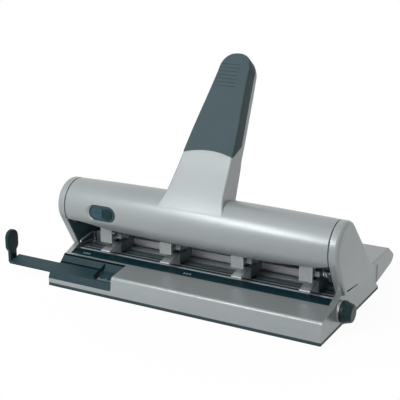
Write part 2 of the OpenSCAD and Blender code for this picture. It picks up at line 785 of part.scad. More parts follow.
module unit_carriage(i) color("#7C8588") translate([unit_x[i], 0, 0]) difference() {
    h = unit_w / 2;
    union() {
        box([-h, -table_front + pass_gap, jaw_low], [h, spine_back_y, jaw_top]);
        along_x(-lip_w / 2, lip_w / 2) polygon([
            [-lip_front, jaw_top - lip_drop], [-table_front + over, jaw_top],
            [-table_front + over, jaw_top - lip_t], [-lip_front, jaw_top - lip_drop - lip_t]
        ]);
        box([-h, spine_front_y, jaw_low], [h, spine_back_y, spine_top]);
        box([-h, punch_y - block_half, arm_low], [h, punch_y + block_half, arm_top]);
        box([-arm_neck / 2, punch_y, arm_low], [arm_neck / 2, spine_front_y + over, arm_top]);
        translate([0, punch_y - block_half + over, arm_low + arm_t / 2]) rotate([90, 0, 0])
            cylinder(r = cap_pin_r, h = cap_front - cap_t + punch_y - block_half + over);
    }
    translate([0, punch_y, jaw_low - over]) cylinder(r = die_r + run_fit, h = jaw_t + 2 * over);
    translate([0, punch_y, arm_low - over]) cylinder(r = pin_r + run_fit, h = arm_t + 2 * over);
    rod_x(-unit_w, unit_w, rod_y, rod_h, rod_r + run_fit);
}

module unit_cap(i) color(block_grey) translate([unit_x[i], 0, 0]) difference() {
    box([-unit_w / 2, -cap_front, cap_low], [unit_w / 2, -cap_front + cap_t, cap_top]);
    for (k = [0:cap_ribs - 1]) {
        x = unit_w * ((k + 0.5) / cap_ribs - 0.5);
        box([x - unit_w / cap_ribs / 4, -cap_front - over, cap_low - over],
            [x + unit_w / cap_ribs / 4, -cap_front + rib_cut, cap_top + over]);
    }
}

module unit_die(i) color(steel) translate([unit_x[i], punch_y, jaw_low]) difference() {
    cylinder(r = die_r, h = jaw_t);
    translate([0, 0, -over]) cylinder(r = pin_r + 2 * run_fit, h = jaw_t + 2 * over);
}

module unit_plunger(i) color(steel) translate([unit_x[i], punch_y, 0]) {
    translate([0, 0, tip_z]) cylinder(r = pin_r, h = head_top - head_t / 2 - tip_z);
    translate([0, 0, head_top - head_t]) cylinder(r = head_r, h = head_t);
}

base_shell();
bottom_tray();
left_cheek();
right_cheek();
rear_cover();
rear_deck();
paper_table();
scale_strip();
scale_drum();
knob_shaft();
knob();
knob_collar();
rear_rail();
guide_rod();
guide_holder();
guide_bar();
guide_stop();
shaft_bushes();
cheek_screws();
table_screws();
return_spring();
hood_shell();
hood_plate(-1);  // hood_plate_left
hood_plate(1);  // hood_plate_right
lever_shaft();
cam_bar();
handle_arm();
handle_shell();
handle_grip();
lock_bezel();
lock_button();
for (i = [0:3]) {
    unit_carriage(i);
    unit_cap(i);
    unit_die(i);
    unit_plunger(i);
    unit_spring(i);
}
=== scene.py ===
"""Looks of an adjustable four-hole desk punch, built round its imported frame.

Every class builds one sub-assembly. Sizes are millimetres in the frame of the
CAD model: X along the lever shaft, Y to the back, Z up, the table at Z = 0.
"""

import json
import logging
import math
from dataclasses import dataclass, field
from enum import Enum
from typing import Any, Callable, Iterable, Sequence

import bmesh
import bpy
from bmesh.types import BMesh, BMEdge, BMVert
from mathutils import Matrix, Vector

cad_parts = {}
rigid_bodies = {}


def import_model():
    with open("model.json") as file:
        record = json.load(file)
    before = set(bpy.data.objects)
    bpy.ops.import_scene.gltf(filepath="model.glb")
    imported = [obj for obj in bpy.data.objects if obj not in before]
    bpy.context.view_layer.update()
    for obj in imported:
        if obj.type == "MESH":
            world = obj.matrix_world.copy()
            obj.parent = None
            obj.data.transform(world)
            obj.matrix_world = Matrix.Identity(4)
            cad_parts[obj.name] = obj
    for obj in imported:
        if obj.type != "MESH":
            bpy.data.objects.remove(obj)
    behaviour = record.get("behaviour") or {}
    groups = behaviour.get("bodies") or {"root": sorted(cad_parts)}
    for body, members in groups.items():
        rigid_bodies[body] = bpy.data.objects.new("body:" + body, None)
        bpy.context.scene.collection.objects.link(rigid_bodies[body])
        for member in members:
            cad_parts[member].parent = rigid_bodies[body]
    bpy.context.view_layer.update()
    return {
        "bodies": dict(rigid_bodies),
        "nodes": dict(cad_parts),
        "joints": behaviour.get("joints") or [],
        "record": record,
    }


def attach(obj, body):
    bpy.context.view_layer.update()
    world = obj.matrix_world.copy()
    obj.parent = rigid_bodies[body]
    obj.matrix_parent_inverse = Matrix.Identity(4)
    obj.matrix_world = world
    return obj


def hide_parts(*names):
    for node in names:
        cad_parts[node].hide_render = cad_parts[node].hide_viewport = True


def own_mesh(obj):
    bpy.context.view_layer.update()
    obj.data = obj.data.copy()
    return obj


LOG = logging.getLogger("desk_punch")
MM = 0.001
FULL_TURN = 2 * math.pi
QUARTER = math.pi / 2
WHITE = (1.0, 1.0, 1.0, 1.0)
# Shapes are shrunk for the exact cut, which merges what lies under its own limit.
CUT_SCALE = 0.1
# Points of a cut shape or a CAD copy nearer than this, in millimetres, are one.
WELD = 0.002
Point2 = tuple[float, float]
Corner = tuple[float, float, float]


class Body(Enum):
    """The CAD bodies that pieces ride on."""

    BASE = "base"
    LEVER = "lever"
    LOCK = "lock"
    KNOB = "scale_knob"


class Slot(Enum):
    """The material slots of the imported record."""

    SILVER = "silver_paint"
    TRAY = "tray_plastic"
    PETROL = "petrol_plastic"
    RUBBER = "grip_rubber"
    DARK = "dark_plastic"
    DRUM = "drum_plastic"
    STEEL = "steel"
    SPRING = "spring_steel"
    BRONZE = "bronze"
    SHEET = "sheet_steel"
    RIBBED = "ribbed_grey"
    TOOL = "tool_steel"


class Axis(Enum):
    """The axis that an outline is drawn out along."""

    X = 0
    Y = 1
    Z = 2


# ---------------------------------------------------------------- materials


def linear(code: str) -> tuple[float, float, float, float]:
    """Turn an sRGB hex colour into linear light.

    Args:
        code: A colour such as "#9AA2A3".

    Returns:
        Red, green, blue and an alpha of one.
    """
    parts = [int(code[i : i + 2], 16) / 255 for i in (1, 3, 5)]
    light = [c / 12.92 if c <= 0.04045 else ((c + 0.055) / 1.055) ** 2.4 for c in parts]
    return light[0], light[1], light[2], 1.0


def add_node(
    tree: bpy.types.NodeTree, kind: str, values: dict[Any, Any] | None = None,
    links: dict[Any, bpy.types.NodeSocket] | None = None,
) -> bpy.types.Node:
    """Add a node, set what it is given and link its inputs.

    Args:
        tree: The node tree.
        kind: The node's type name.
        values: Node properties in lower case, and input sockets by name or place.
        links: Output sockets by the input that they feed.

    Returns:
        The new node.
    """
    node = tree.nodes.new(kind)
    sockets = {}
    for key, value in (values or {}).items():
        if isinstance(key, str) and key[0].islower():
            setattr(node, key, value)
        else:
            sockets[key] = value
    for key, value in sockets.items():
        node.inputs[key].default_value = value
    for key, socket in (links or {}).items():
        tree.links.new(socket, node.inputs[key])
    return node


def cleared(owner: bpy.types.Material | bpy.types.World) -> bpy.types.NodeTree:
    """Return the emptied node tree of a material or a world."""
    owner.use_nodes = True
    owner.node_tree.nodes.clear()
    return owner.node_tree


def posed(holder: bpy.types.Object, spot: Vector, right: Vector, up: Vector, back: Vector) -> None:
    """Stand a camera or a lamp at a place, by the three directions of its frame."""
    turn = Matrix((right, up, back)).transposed().to_4x4()
    holder.matrix_world = Matrix.Translation(spot) @ turn


def linked(name: str, data: bpy.types.ID) -> bpy.types.Object:
    """Put an object that holds this data into the scene."""
    holder = bpy.data.objects.new(name, data)
    bpy.context.scene.collection.objects.link(holder)
    return holder


@dataclass(frozen=True)
class Finish:
    """A surface: what it is made of, how it was made and how that looks.

    Args:
        name: The real material and its making.
        colour: Main colour.
        second: Colour of the faint clouding.
        roughness: Middle roughness.
        grain_mm: Size of the surface grain.
        grain_depth_mm: Height of the grain.
        metallic: Share of bare metal.
        cloud_mm: Size of the clouding.
        cloud: Strength of the clouding.
        spread: How far the roughness strays to either side.
        worn: Edge colour, partly rubbed wear and partly a painted highlight.
        wear: Share of that colour on an edge.
        lay: Stretch of the grain along X, Y and Z, for brushed and rolled metal.
        mirror: Strength of the plain reflection of a surface that isn't metal.
    """

    name: str
    colour: str
    second: str
    roughness: float
    grain_mm: float
    grain_depth_mm: float
    metallic: float = 0.0
    cloud_mm: float = 30.0
    cloud: float = 0.5
    spread: float = 0.05
    worn: str = "#C4CACB"
    wear: float = 0.0
    lay: tuple[float, float, float] = (1.0, 1.0, 1.0)
    mirror: float = 0.5

    def material(self) -> bpy.types.Material:
        """Return this finish's material, made once."""
        made = bpy.data.materials.get(self.name)
        if made is not None:
            return made
        made = bpy.data.materials.new(self.name)
        tree = cleared(made)
        spot = add_node(tree, "ShaderNodeTexCoord").outputs["Object"]
        along = add_node(tree, "ShaderNodeMapping", {"Scale": self.lay}, {"Vector": spot})
        grain = add_node(
            tree, "ShaderNodeTexNoise",
            {"Scale": 1 / (self.grain_mm * MM), "Detail": 2.0, "Roughness": 0.55},
            {"Vector": along.outputs["Vector"]},
        ).outputs["Fac"]
        cloud = add_node(
            tree, "ShaderNodeTexNoise",
            {"Scale": 1 / (self.cloud_mm * MM), "Detail": 3.0, "Roughness": 0.5}, {"Vector": spot},
        ).outputs["Fac"]
        share = add_node(
            tree, "ShaderNodeMapRange", {"From Min": 0.35, "From Max": 0.65, "To Max": self.cloud},
            {"Value": cloud},
        ).outputs["Result"]
        colour = add_node(
            tree, "ShaderNodeMix",
            {"data_type": "RGBA", 6: linear(self.colour), 7: linear(self.second)}, {0: share},
        ).outputs[2]
        # Convex edges are lightened, partly as rubbed wear and partly as a painted highlight along
        # them.
        if self.wear > 0:
            edge = add_node(tree, "ShaderNodeNewGeometry").outputs["Pointiness"]
            edge_wear_and_highlight_mask = add_node(
                tree, "ShaderNodeMapRange",
                {"From Min": 0.53, "From Max": 0.6, "To Max": self.wear}, {"Value": edge},
            ).outputs["Result"]
            patchy_edge_wear_and_highlight = add_node(
                tree, "ShaderNodeMath", {"operation": "MULTIPLY"}, {0: edge_wear_and_highlight_mask, 1: grain}
            ).outputs["Value"]
            colour = add_node(
                tree, "ShaderNodeMix", {"data_type": "RGBA", 7: linear(self.worn)},
                {0: patchy_edge_wear_and_highlight, 6: colour},
            ).outputs[2]
        low, high = self.roughness - self.spread, self.roughness + self.spread
        gloss = add_node(
            tree, "ShaderNodeMapRange",
            {"From Min": 0.3, "From Max": 0.7, "To Min": low, "To Max": high}, {"Value": grain},
        ).outputs["Result"]
        relief = add_node(
            tree, "ShaderNodeBump", {"Strength": 1.0, "Distance": self.grain_depth_mm * MM},
            {"Height": grain},
        ).outputs["Normal"]
        shader = add_node(
            tree, "ShaderNodeBsdfPrincipled",
            {"Metallic": self.metallic, "Specular IOR Level": self.mirror},
            {"Base Color": colour, "Roughness": gloss, "Normal": relief},
        ).outputs["BSDF"]
        add_node(tree, "ShaderNodeOutputMaterial", links={"Surface": shader})
        return made


class Shop:
    """The finishes of this punch."""

    # Die cast metal under silver effect lacquer: soft sheen, very fine flake.
    # The flake of about 0.05 mm is drawn at 0.5 mm so that it shows.
    SILVER = Finish(
        "silver_effect_lacquer", "#989E9F", "#929899", metallic=0.42, roughness=0.33, grain_mm=0.5,
        grain_depth_mm=0.004, cloud_mm=45.0, spread=0.03, worn="#B9BFC0", wear=0.25,
    )
    # Black-green ABS of the bottom tray: moulded, matt, lightly eroded.
    TRAY = Finish(
        "moulded_abs_matt", "#1F3237", "#25393D", roughness=0.55, grain_mm=0.9,
        grain_depth_mm=0.02, cloud_mm=25.0, spread=0.06, worn="#4A5C60", wear=0.3, mirror=0.3,
    )
    # Petrol ABS of the side guide: moulded, with a fine spark-eroded grain.
    PETROL = Finish(
        "moulded_abs_petrol", "#1E3439", "#1A2F35", roughness=0.5, grain_mm=0.7,
        grain_depth_mm=0.012, worn="#4A5F66", wear=0.3, mirror=0.25,
    )
    # Soft-touch elastomer moulded over the handle: matt with a dusty sheen.
    RUBBER = Finish(
        "soft_touch_elastomer", "#3F4E52", "#3B494D", roughness=0.6, grain_mm=0.6,
        grain_depth_mm=0.02, worn="#56666A", wear=0.3, mirror=0.25,
    )
    # Deep petrol ABS of the knob, the guide stop and the lock's slider: semi gloss.
    DARK = Finish(
        "moulded_abs_dark", "#0E282C", "#122D32", roughness=0.38, grain_mm=0.8,
        grain_depth_mm=0.008, cloud_mm=20.0, worn="#2E454C", wear=0.3, mirror=0.2,
    )
    # White-grey ABS of the hidden scale drum.
    DRUM = Finish(
        "moulded_abs_light", "#CDD1CC", "#C4C9C4", roughness=0.45, grain_mm=0.7,
        grain_depth_mm=0.01, cloud_mm=20.0, worn="#DADDD9", wear=0.2,
    )
    # Turned and ground steel of shafts and screws: bright, with soft streaks.
    STEEL = Finish(
        "ground_steel", "#B4BABC", "#A6ADB0", metallic=1.0, roughness=0.28, grain_mm=0.5,
        grain_depth_mm=0.003, cloud_mm=12.0, spread=0.06, worn="#D0D5D6", wear=0.3,
    )
    # Drawn spring wire, oiled: darker than the shafts, with a narrow shine.
    SPRING = Finish(
        "drawn_spring_wire", "#8C9396", "#7A8286", metallic=1.0, roughness=0.3, grain_mm=0.4,
        grain_depth_mm=0.003, cloud_mm=6.0, cloud=0.6, spread=0.06, worn="#B5BBBD", wear=0.2,
    )
    # Sintered bronze of the bushes: dull and porous.
    BRONZE = Finish(
        "sintered_bronze", "#9A7B4F", "#8A6C44", metallic=1.0, roughness=0.45, grain_mm=0.4,
        grain_depth_mm=0.01, cloud_mm=6.0, cloud=0.6, spread=0.06, worn="#B5966A", wear=0.2,
    )
    # Rolled and zinc plated sheet: pale, with its grain drawn out along X.
    SHEET = Finish(
        "zinc_plated_sheet", "#BAC4C8", "#AEB9BD", metallic=0.25, roughness=0.36, grain_mm=0.6,
        grain_depth_mm=0.003, cloud_mm=18.0, cloud=0.6, spread=0.06, worn="#D5DADC", wear=0.3,
        lay=(0.08, 1.0, 1.0),
    )
    # Anodised and grooved plate of the caps: pale, with a faint metal sheen.
    RIBBED = Finish(
        "anodised_ribbed_plate", "#ABB0B0", "#A2A8A9", metallic=0.35, roughness=0.4, grain_mm=0.4,
        grain_depth_mm=0.004, cloud_mm=10.0, worn="#C4C9C9", wear=0.3,
    )
    # Hardened tool steel of the plungers and dies: ground smooth.
    TOOL = Finish(
        "hardened_tool_steel", "#8E9496", "#7D8487", metallic=1.0, roughness=0.26, grain_mm=0.4,
        grain_depth_mm=0.003, cloud_mm=8.0, cloud=0.6, spread=0.06, worn="#B0B6B8", wear=0.2,
    )
    # Bright zinc plated sheet of the paper lips: the shiniest of the sheets.
    ZINC = Finish(
        "bright_zinc_sheet", "#D6DBDE", "#CBD1D4", metallic=0.6, roughness=0.25, grain_mm=0.5,
        grain_depth_mm=0.002, cloud_mm=14.0, worn="#E6EAEB", wear=0.3,
    )
    # Phosphated steel of the cam bar and the plates inside the hood: dark, dull.
    PHOSPHATE = Finish(
        "phosphated_steel", "#50585B", "#464E52", metallic=0.6, roughness=0.5, grain_mm=0.5,
        grain_depth_mm=0.008, cloud_mm=14.0, cloud=0.6, spread=0.06, worn="#7F878A", wear=0.3,
    )
    # Petrol lacquer over the inner faces of the cheeks: matt.
    LINER = Finish(
        "matt_petrol_lacquer", "#4C636C", "#445A63", roughness=0.55, grain_mm=0.6,
        grain_depth_mm=0.01, mirror=0.3,
    )
    # Blackened sheet of the carriages: grey in the lamps, with no clear shine.
    BLACKED = Finish(
        "blackened_sheet", "#818E92", "#758286", metallic=0.2, roughness=0.45, grain_mm=0.5,
        grain_depth_mm=0.006, cloud_mm=12.0, spread=0.06, worn="#A0AAAE", wear=0.3,
    )
    # Deep petrol ABS of the scale window, polished.
    WINDOW = Finish(
        "moulded_abs_window", "#0C2A32", "#103038", roughness=0.3, grain_mm=0.8,
        grain_depth_mm=0.006, cloud_mm=20.0, worn="#24454D", wear=0.3, mirror=0.3,
    )
    # Petrol ABS of the lock's surround and ridge: semi gloss.
    LOCK = Finish(
        "moulded_abs_lock", "#2C4A55", "#27434D", roughness=0.4, grain_mm=0.6,
        grain_depth_mm=0.008, cloud_mm=10.0, worn="#5A747E", wear=0.4, mirror=0.3,
    )
    # Painted shade: dead matt black, laid as thin sheets over gaps and seams where shadow falls.
    BLACK = Finish(
        "matt_black_paint", "#060D10", "#080F12", roughness=0.8, grain_mm=0.5, grain_depth_mm=0.01,
        cloud_mm=10.0, spread=0.03, mirror=0.1,
    )
    # Light dipped rail behind the punches, lifted to almost white as a painted reflection of the
    # white surroundings; its grain runs along X.
    RAIL = Finish(
        "bright_dipped_rail", "#E2E3E7", "#D6D8DD", metallic=0.1, roughness=0.35, grain_mm=0.6,
        grain_depth_mm=0.003, cloud_mm=18.0, cloud=0.6, spread=0.06, worn="#EDEEF0", wear=0.3,
        lay=(0.08, 1.0, 1.0),
    )
    # Phosphated plate under the punch row: grey and dull.
    BED = Finish(
        "phosphated_plate", "#66757A", "#5B6A6F", metallic=0.2, roughness=0.5, grain_mm=0.5,
        grain_depth_mm=0.006, cloud_mm=14.0, cloud=0.6, spread=0.06, worn="#8A9599", wear=0.3,
    )
    # Pad-printed scale ink: flat and pale.
    INK = Finish(
        "pad_print_ink", "#B9C6C4", "#AEBCBA", roughness=0.6, grain_mm=0.3, grain_depth_mm=0.001,
        cloud_mm=5.0, cloud=0.4, spread=0.04,
    )


SLOT_FINISH: dict[Slot, Finish] = {slot: getattr(Shop, slot.name) for slot in Slot}


# ------------------------------------------------------------------ shaping


def filleted(corners: Sequence[Corner], steps: int = 6) -> list[Point2]:
    """Round the corners of a closed outline.

    Args:
        corners: Two coordinates and a radius for each corner.
        steps: Segments of each arc.

    Returns:
        The points of the rounded outline in the same turn.
    """
    points: list[Point2] = []
    count = len(corners)
    for i, (a, b, radius) in enumerate(corners):
        here = Vector((a, b))
        if radius <= 0:
            points.append((a, b))
            continue
        before = Vector(corners[i - 1][:2]) - here
        after = Vector(corners[(i + 1) % count][:2]) - here
        half = before.angle(after) / 2
        reach = min(radius / math.tan(half), 0.49 * before.length, 0.49 * after.length)
        arc = reach * math.tan(half)
        middle = (before.normalized() + after.normalized()).normalized()
        centre = here + middle * (arc / math.sin(half))
        start = here + before.normalized() * reach - centre
        end = here + after.normalized() * reach - centre
        first = math.atan2(start.y, start.x)
        sweep = math.atan2(end.y, end.x) - first
        sweep = (sweep + math.pi) % FULL_TURN - math.pi
        for step in range(steps + 1):
            angle = first + sweep * step / steps
            points.append((centre.x + arc * math.cos(angle), centre.y + arc * math.sin(angle)))
    return points


def circle_hull(circles: Sequence[Corner], steps: int = 24) -> list[Point2]:
    """Wrap a band round circles that are given in a left-hand turn.

    Args:
        circles: Centre and radius of each circle.
        steps: Segments per half turn of an arc.

    Returns:
        The points of the band.
    """
    normals = []
    count = len(circles)
    for i in range(count):
        a, b = circles[i], circles[(i + 1) % count]
        run = Vector((b[0] - a[0], b[1] - a[1]))
        normals.append(math.atan2(run.y, run.x) - math.acos((a[2] - b[2]) / run.length))
    points: list[Point2] = []
    for i, (y, z, r) in enumerate(circles):
        first, last = normals[i - 1], normals[i]
        sweep = (last - first) % FULL_TURN
        arcs = max(3, round(steps * sweep / math.pi))
        for step in range(arcs + 1):
            angle = first + sweep * step / arcs
            points.append((y + r * math.cos(angle), z + r * math.sin(angle)))
    return points


def place(point: Point2, along: float, axis: Axis) -> Vector:
    """Put an outline's point in space.

    Args:
        point: The two coordinates off the axis, in their alphabetical order.
        along: The coordinate on the axis.
        axis: The axis that the outline stands square to.

    Returns:
        The point in space.
    """
    values = list(point)
    values.insert(axis.value, along)
    return Vector(values)


def drawn_out(ring: Sequence[Vector], step: Vector) -> BMesh:
    """Draw a ring of points out by a step into a closed bmesh."""
    bm = bmesh.new()
    face = bm.faces.new([bm.verts.new(spot) for spot in ring])
    made = bmesh.ops.extrude_face_region(bm, geom=[face])["geom"]
    bmesh.ops.translate(bm, vec=step, verts=[item for item in made if isinstance(item, BMVert)])
    bmesh.ops.recalc_face_normals(bm, faces=bm.faces[:])
    return bm


def prism(outline: Sequence[Point2], low: float, high: float, axis: Axis = Axis.X) -> BMesh:
    """Draw an outline out along an axis.

    Args:
        outline: The outline's points.
        low: Where it starts.
        high: Where it ends.
        axis: The axis.

    Returns:
        A closed bmesh.
    """
    step = place((0.0, 0.0), high - low, axis)
    return drawn_out([place(p, low, axis) for p in outline], step)


def rectangle(a0: float, b0: float, a1: float, b1: float, radius: float) -> list[Point2]:
    """Return a rectangle's outline with rounded corners."""
    return filleted([(a0, b0, radius), (a1, b0, radius), (a1, b1, radius), (a0, b1, radius)])


def slab(low: Sequence[float], high: Sequence[float]) -> BMesh:
    """Return a square block between two corners."""
    bm = bmesh.new()
    size = [b - a for a, b in zip(low, high)]
    middle = [(a + b) / 2 for a, b in zip(low, high)]
    bmesh.ops.create_cube(
        bm, size=1.0, matrix=Matrix.Translation(middle) @ Matrix.Diagonal((*size, 1.0))
    )
    return bm


def turned(
    profile: Sequence[Point2], centre: Vector, axis: Axis = Axis.X, steps: int = 48
) -> BMesh:
    """Turn a profile about an axis.

    Args:
        profile: Place along the axis and radius of each point, from end to end.
        centre: A point of the axis.
        axis: The axis.
        steps: Segments of the full turn.

    Returns:
        A closed bmesh.
    """
    bm = bmesh.new()
    off = 1 if axis is not Axis.Y else 2
    verts = []
    for along, radius in profile:
        spot = centre.copy()
        spot[axis.value] = along
        spot[(axis.value + off) % 3] += radius
        verts.append(bm.verts.new(spot))
    edges = [bm.edges.new(pair) for pair in zip(verts, verts[1:])]
    bmesh.ops.spin(
        bm, geom=verts + edges, cent=centre, axis=place((0.0, 0.0), 1.0, axis), angle=FULL_TURN,
        steps=steps, use_merge=True,
    )
    bmesh.ops.remove_doubles(bm, verts=bm.verts[:], dist=0.0005)
    bmesh.ops.recalc_face_normals(bm, faces=bm.faces[:])
    return bm


def round_bar(
    low: float, high: float, radius: float, centre: Vector, axis: Axis, steps: int
) -> BMesh:
    """Return a plain round bar between two places on an axis.

    Args:
        low: Where it starts.
        high: Where it ends.
        radius: Its radius.
        centre: A point of the axis.
        axis: The axis.
        steps: Sides of the bar.

    Returns:
        A closed bmesh.
    """
    return turned([(low, 0.0), (low, radius), (high, radius), (high, 0.0)], centre, axis, steps)


def pulled(rings: Sequence[Sequence[Vector]]) -> BMesh:
    """Pull one closed ring through the places of others.

    Args:
        rings: Rings of equal count, each in the same turn.

    Returns:
        A closed bmesh whose faces point outwards.
    """
    bm = bmesh.new()
    verts = [bm.verts.new(p) for p in rings[0]]
    count = len(verts)
    edges = [bm.edges.new((verts[i], verts[(i + 1) % count])) for i in range(count)]
    first = verts
    for places in rings[1:]:
        made = bmesh.ops.extrude_edge_only(bm, edges=edges)["geom"]
        fresh = {item for item in made if isinstance(item, BMVert)}
        near = [[e.other_vert(vert) for e in vert.link_edges] for vert in verts]
        verts = [next(other for other in others if other in fresh) for others in near]
        for vert, spot in zip(verts, places):
            vert.co = spot
        edges = [bm.edges.get((verts[i], verts[(i + 1) % count])) for i in range(count)]
    bm.faces.new(first)
    bm.faces.new(verts)
    bmesh.ops.recalc_face_normals(bm, faces=bm.faces[:])
    return bm


def tube(path: Sequence[Vector], radius: float, sides: int = 10) -> BMesh:
    """Draw a round wire along a path.

    Args:
        path: Points of the wire's middle.
        radius: Radius of the wire.
        sides: Sides of the section.

    Returns:
        A closed bmesh.
    """
    rings = []
    normal = None
    for i, spot in enumerate(path):
        ahead = (path[min(i + 1, len(path) - 1)] - path[max(i - 1, 0)]).normalized()
        if normal is None:
            normal = ahead.orthogonal().normalized()
        normal = (normal - ahead * normal.dot(ahead)).normalized()
        side = ahead.cross(normal)
        turns = [FULL_TURN * k / sides for k in range(sides)]
        rings.append([spot + radius * (normal * math.cos(t) + side * math.sin(t)) for t in turns])
    return pulled(rings)


def sharp_edges(bm: BMesh, degrees: float = 30.0) -> list[BMEdge]:
    """Return the edges that fold by more than an angle."""
    limit = math.radians(degrees)
    return [e for e in bm.edges if len(e.link_faces) == 2 and e.calc_face_angle(0.0) > limit]


def at_ends(half: float) -> Callable[[BMEdge], bool]:
    """Return a test for the edges in the two end faces of a part along X."""
    return lambda e: abs(abs(e.verts[0].co.x + e.verts[1].co.x) / 2 - half) < 0.01


def ease(
    bm: BMesh, width: float, segments: int = 2, pick: Callable[[BMEdge], bool] | None = None,
    degrees: float = 30.0,
) -> BMesh:
    """Round the sharp edges of a shape.

    Args:
        bm: The shape.
        width: Width of the rounding.
        segments: Segments of the rounding.
        pick: Which of the sharp edges to take; all of them without it.
        degrees: How far an edge folds before it counts as sharp.

    Returns:
        The same bmesh.
    """
    edges = [e for e in sharp_edges(bm, degrees) if pick is None or pick(e)]
    bmesh.ops.bevel(
        bm, geom=edges, offset=width, offset_type="OFFSET", segments=segments, profile=0.5,
        affect="EDGES", clamp_overlap=True, material=-1,
    )
    return bm


def merged(*shapes: BMesh) -> BMesh:
    """Put several shapes into one bmesh."""
    whole = bmesh.new()
    for shape in shapes:
        shell = bpy.data.meshes.new("part")
        shape.to_mesh(shell)
        whole.from_mesh(shell)
        bpy.data.meshes.remove(shell)
        shape.free()
    return whole


def carved(body: BMesh, *cutters: BMesh, operation: str = "DIFFERENCE") -> BMesh:
    """Take shapes away from a shape, or keep what they share.

    Args:
        body: The shape to cut.
        cutters: The shapes to cut with.
        operation: The kind of cut.

    Returns:
        A new bmesh with its doubles merged and its normals outwards.
    """
    holders = []
    for bm in (body, *cutters):
        bmesh.ops.scale(bm, vec=(CUT_SCALE, CUT_SCALE, CUT_SCALE), verts=bm.verts[:])
        shell = bpy.data.meshes.new("cutting")
        bm.to_mesh(shell)
        bm.free()
        holders.append(linked("cutting", shell))
    for tool in holders[1:]:
        cut = holders[0].modifiers.new("cut", "BOOLEAN")
        cut.operation = operation
        cut.solver = "EXACT"
        cut.object = tool
    graph = bpy.context.evaluated_depsgraph_get()
    made = bpy.data.meshes.new_from_object(holders[0].evaluated_get(graph))
    out = bmesh.new()
    out.from_mesh(made)
    grow = 1 / CUT_SCALE
    bmesh.ops.scale(out, vec=(grow, grow, grow), verts=out.verts[:])
    for holder in holders:
        shell = holder.data
        bpy.data.objects.remove(holder)
        bpy.data.meshes.remove(shell)
    bpy.data.meshes.remove(made)
    bmesh.ops.remove_doubles(out, verts=out.verts[:], dist=WELD)
    bmesh.ops.dissolve_degenerate(out, edges=out.edges[:], dist=WELD / 2)
    bmesh.ops.recalc_face_normals(out, faces=out.faces[:])
    return out


def smoothstep(value: float) -> float:
    """Ease a value from 0 to 1."""
    t = min(1.0, max(0.0, value))
    return t * t * (3 - 2 * t)


def through(points: Sequence[Point2], at: float) -> float:
    """Read a smooth curve through points.

    Args:
        points: Places and values, in rising order of place.
        at: Where to read it.

    Returns:
        The value there.
    """
    if at <= points[0][0]:
        return points[0][1]
    for i in range(len(points) - 1):
        (a, va), (b, vb) = points[i], points[i + 1]
        if at <= b:
            before = points[max(i - 1, 0)]
            after = points[min(i + 2, len(points) - 1)]
            slope_a = (vb - before[1]) / (b - before[0])
            slope_b = (after[1] - va) / (after[0] - a)
            t, span = (at - a) / (b - a), b - a
            value = va * (2 * t**3 - 3 * t**2 + 1) + slope_a * span * (t**3 - 2 * t**2 + t)
            value += vb * (3 * t**2 - 2 * t**3)
            return value + slope_b * span * (t**3 - t**2)
    return points[-1][1]


class Bench:
    """Turns shapes into pieces of the model and dresses the CAD nodes."""

    def __init__(self, frame: dict[str, Any]) -> None:
        """Keep the loaded frame."""
        self.frame = frame
        self.count = 0

    def body(self, node: str) -> str:
        """Return the body that a CAD node rides on."""
        return str(self.frame["nodes"][node].parent.name).removeprefix("body:")

    def piece(
        self, bm: BMesh, name: str, body: str | Body, slot: Slot, replaces: Sequence[str] = (),
        finish: Finish | None = None, smooth: float = 32.0,
    ) -> bpy.types.Object:
        """Make an object of a shape in millimetres.

        Args:
            bm: The shape, which is used up.
            name: The piece's name.
            body: The body it rides on.
            slot: The material slot whose finish it takes when no finish is given.
            replaces: The CAD nodes it stands for.
            finish: Its finish, when it isn't the slot's own.
            smooth: Edges that fold less than this are shaded smooth.

        Returns:
            The object.
        """
        bmesh.ops.scale(bm, vec=(MM, MM, MM), verts=bm.verts[:])
        mesh = bpy.data.meshes.new(name)
        bm.to_mesh(mesh)
        bm.free()
        mesh.shade_smooth()
        mesh.set_sharp_from_angle(angle=math.radians(smooth))
        piece = linked(name, mesh)
        mesh.materials.append((finish or SLOT_FINISH[slot]).material())
        even = piece.modifiers.new("even_shading", "WEIGHTED_NORMAL")
        even.keep_sharp = True
        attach(piece, body.value if isinstance(body, Body) else body)
        if replaces:
            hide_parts(*replaces)
        self.count += 1
        LOG.info("%s: %d faces on %s", name, len(mesh.polygons), body)
        return piece

    def copied(self, node: str) -> BMesh:
        """Return a merged copy of a CAD node in millimetres."""
        bm = bmesh.new()
        bm.from_mesh(self.frame["nodes"][node].data)
        bmesh.ops.scale(bm, vec=(1 / MM, 1 / MM, 1 / MM), verts=bm.verts[:])
        bmesh.ops.remove_doubles(bm, verts=bm.verts[:], dist=WELD)
        bmesh.ops.dissolve_limit(
            bm, angle_limit=math.radians(0.6), verts=bm.verts[:], edges=bm.edges[:]
        )
        bmesh.ops.recalc_face_normals(bm, faces=bm.faces[:])
        return bm

    def eased(
        self, node: str, name: str, slot: Slot, width: float, finish: Finish | None = None
    ) -> bpy.types.Object:
        """Replace a CAD node with a copy whose edges are rounded.

        Args:
            node: The CAD node.
            name: The piece's name.
            slot: The material slot whose finish it takes when no finish is given.
            width: Width of the rounding.
            finish: Its finish, when it isn't the slot's own.

        Returns:
            The object.
        """
        bm = ease(self.copied(node), width)
        return self.piece(bm, name, self.body(node), slot, [node], finish)

    def dress(self, nodes: Iterable[str], finish: Finish) -> None:
        """Give CAD nodes that stay a finish."""
        for node in nodes:
            mesh = self.frame["nodes"][node].data
            mesh.materials.clear()
            mesh.materials.append(finish.material())


# --------------------------------------------------------------- base parts


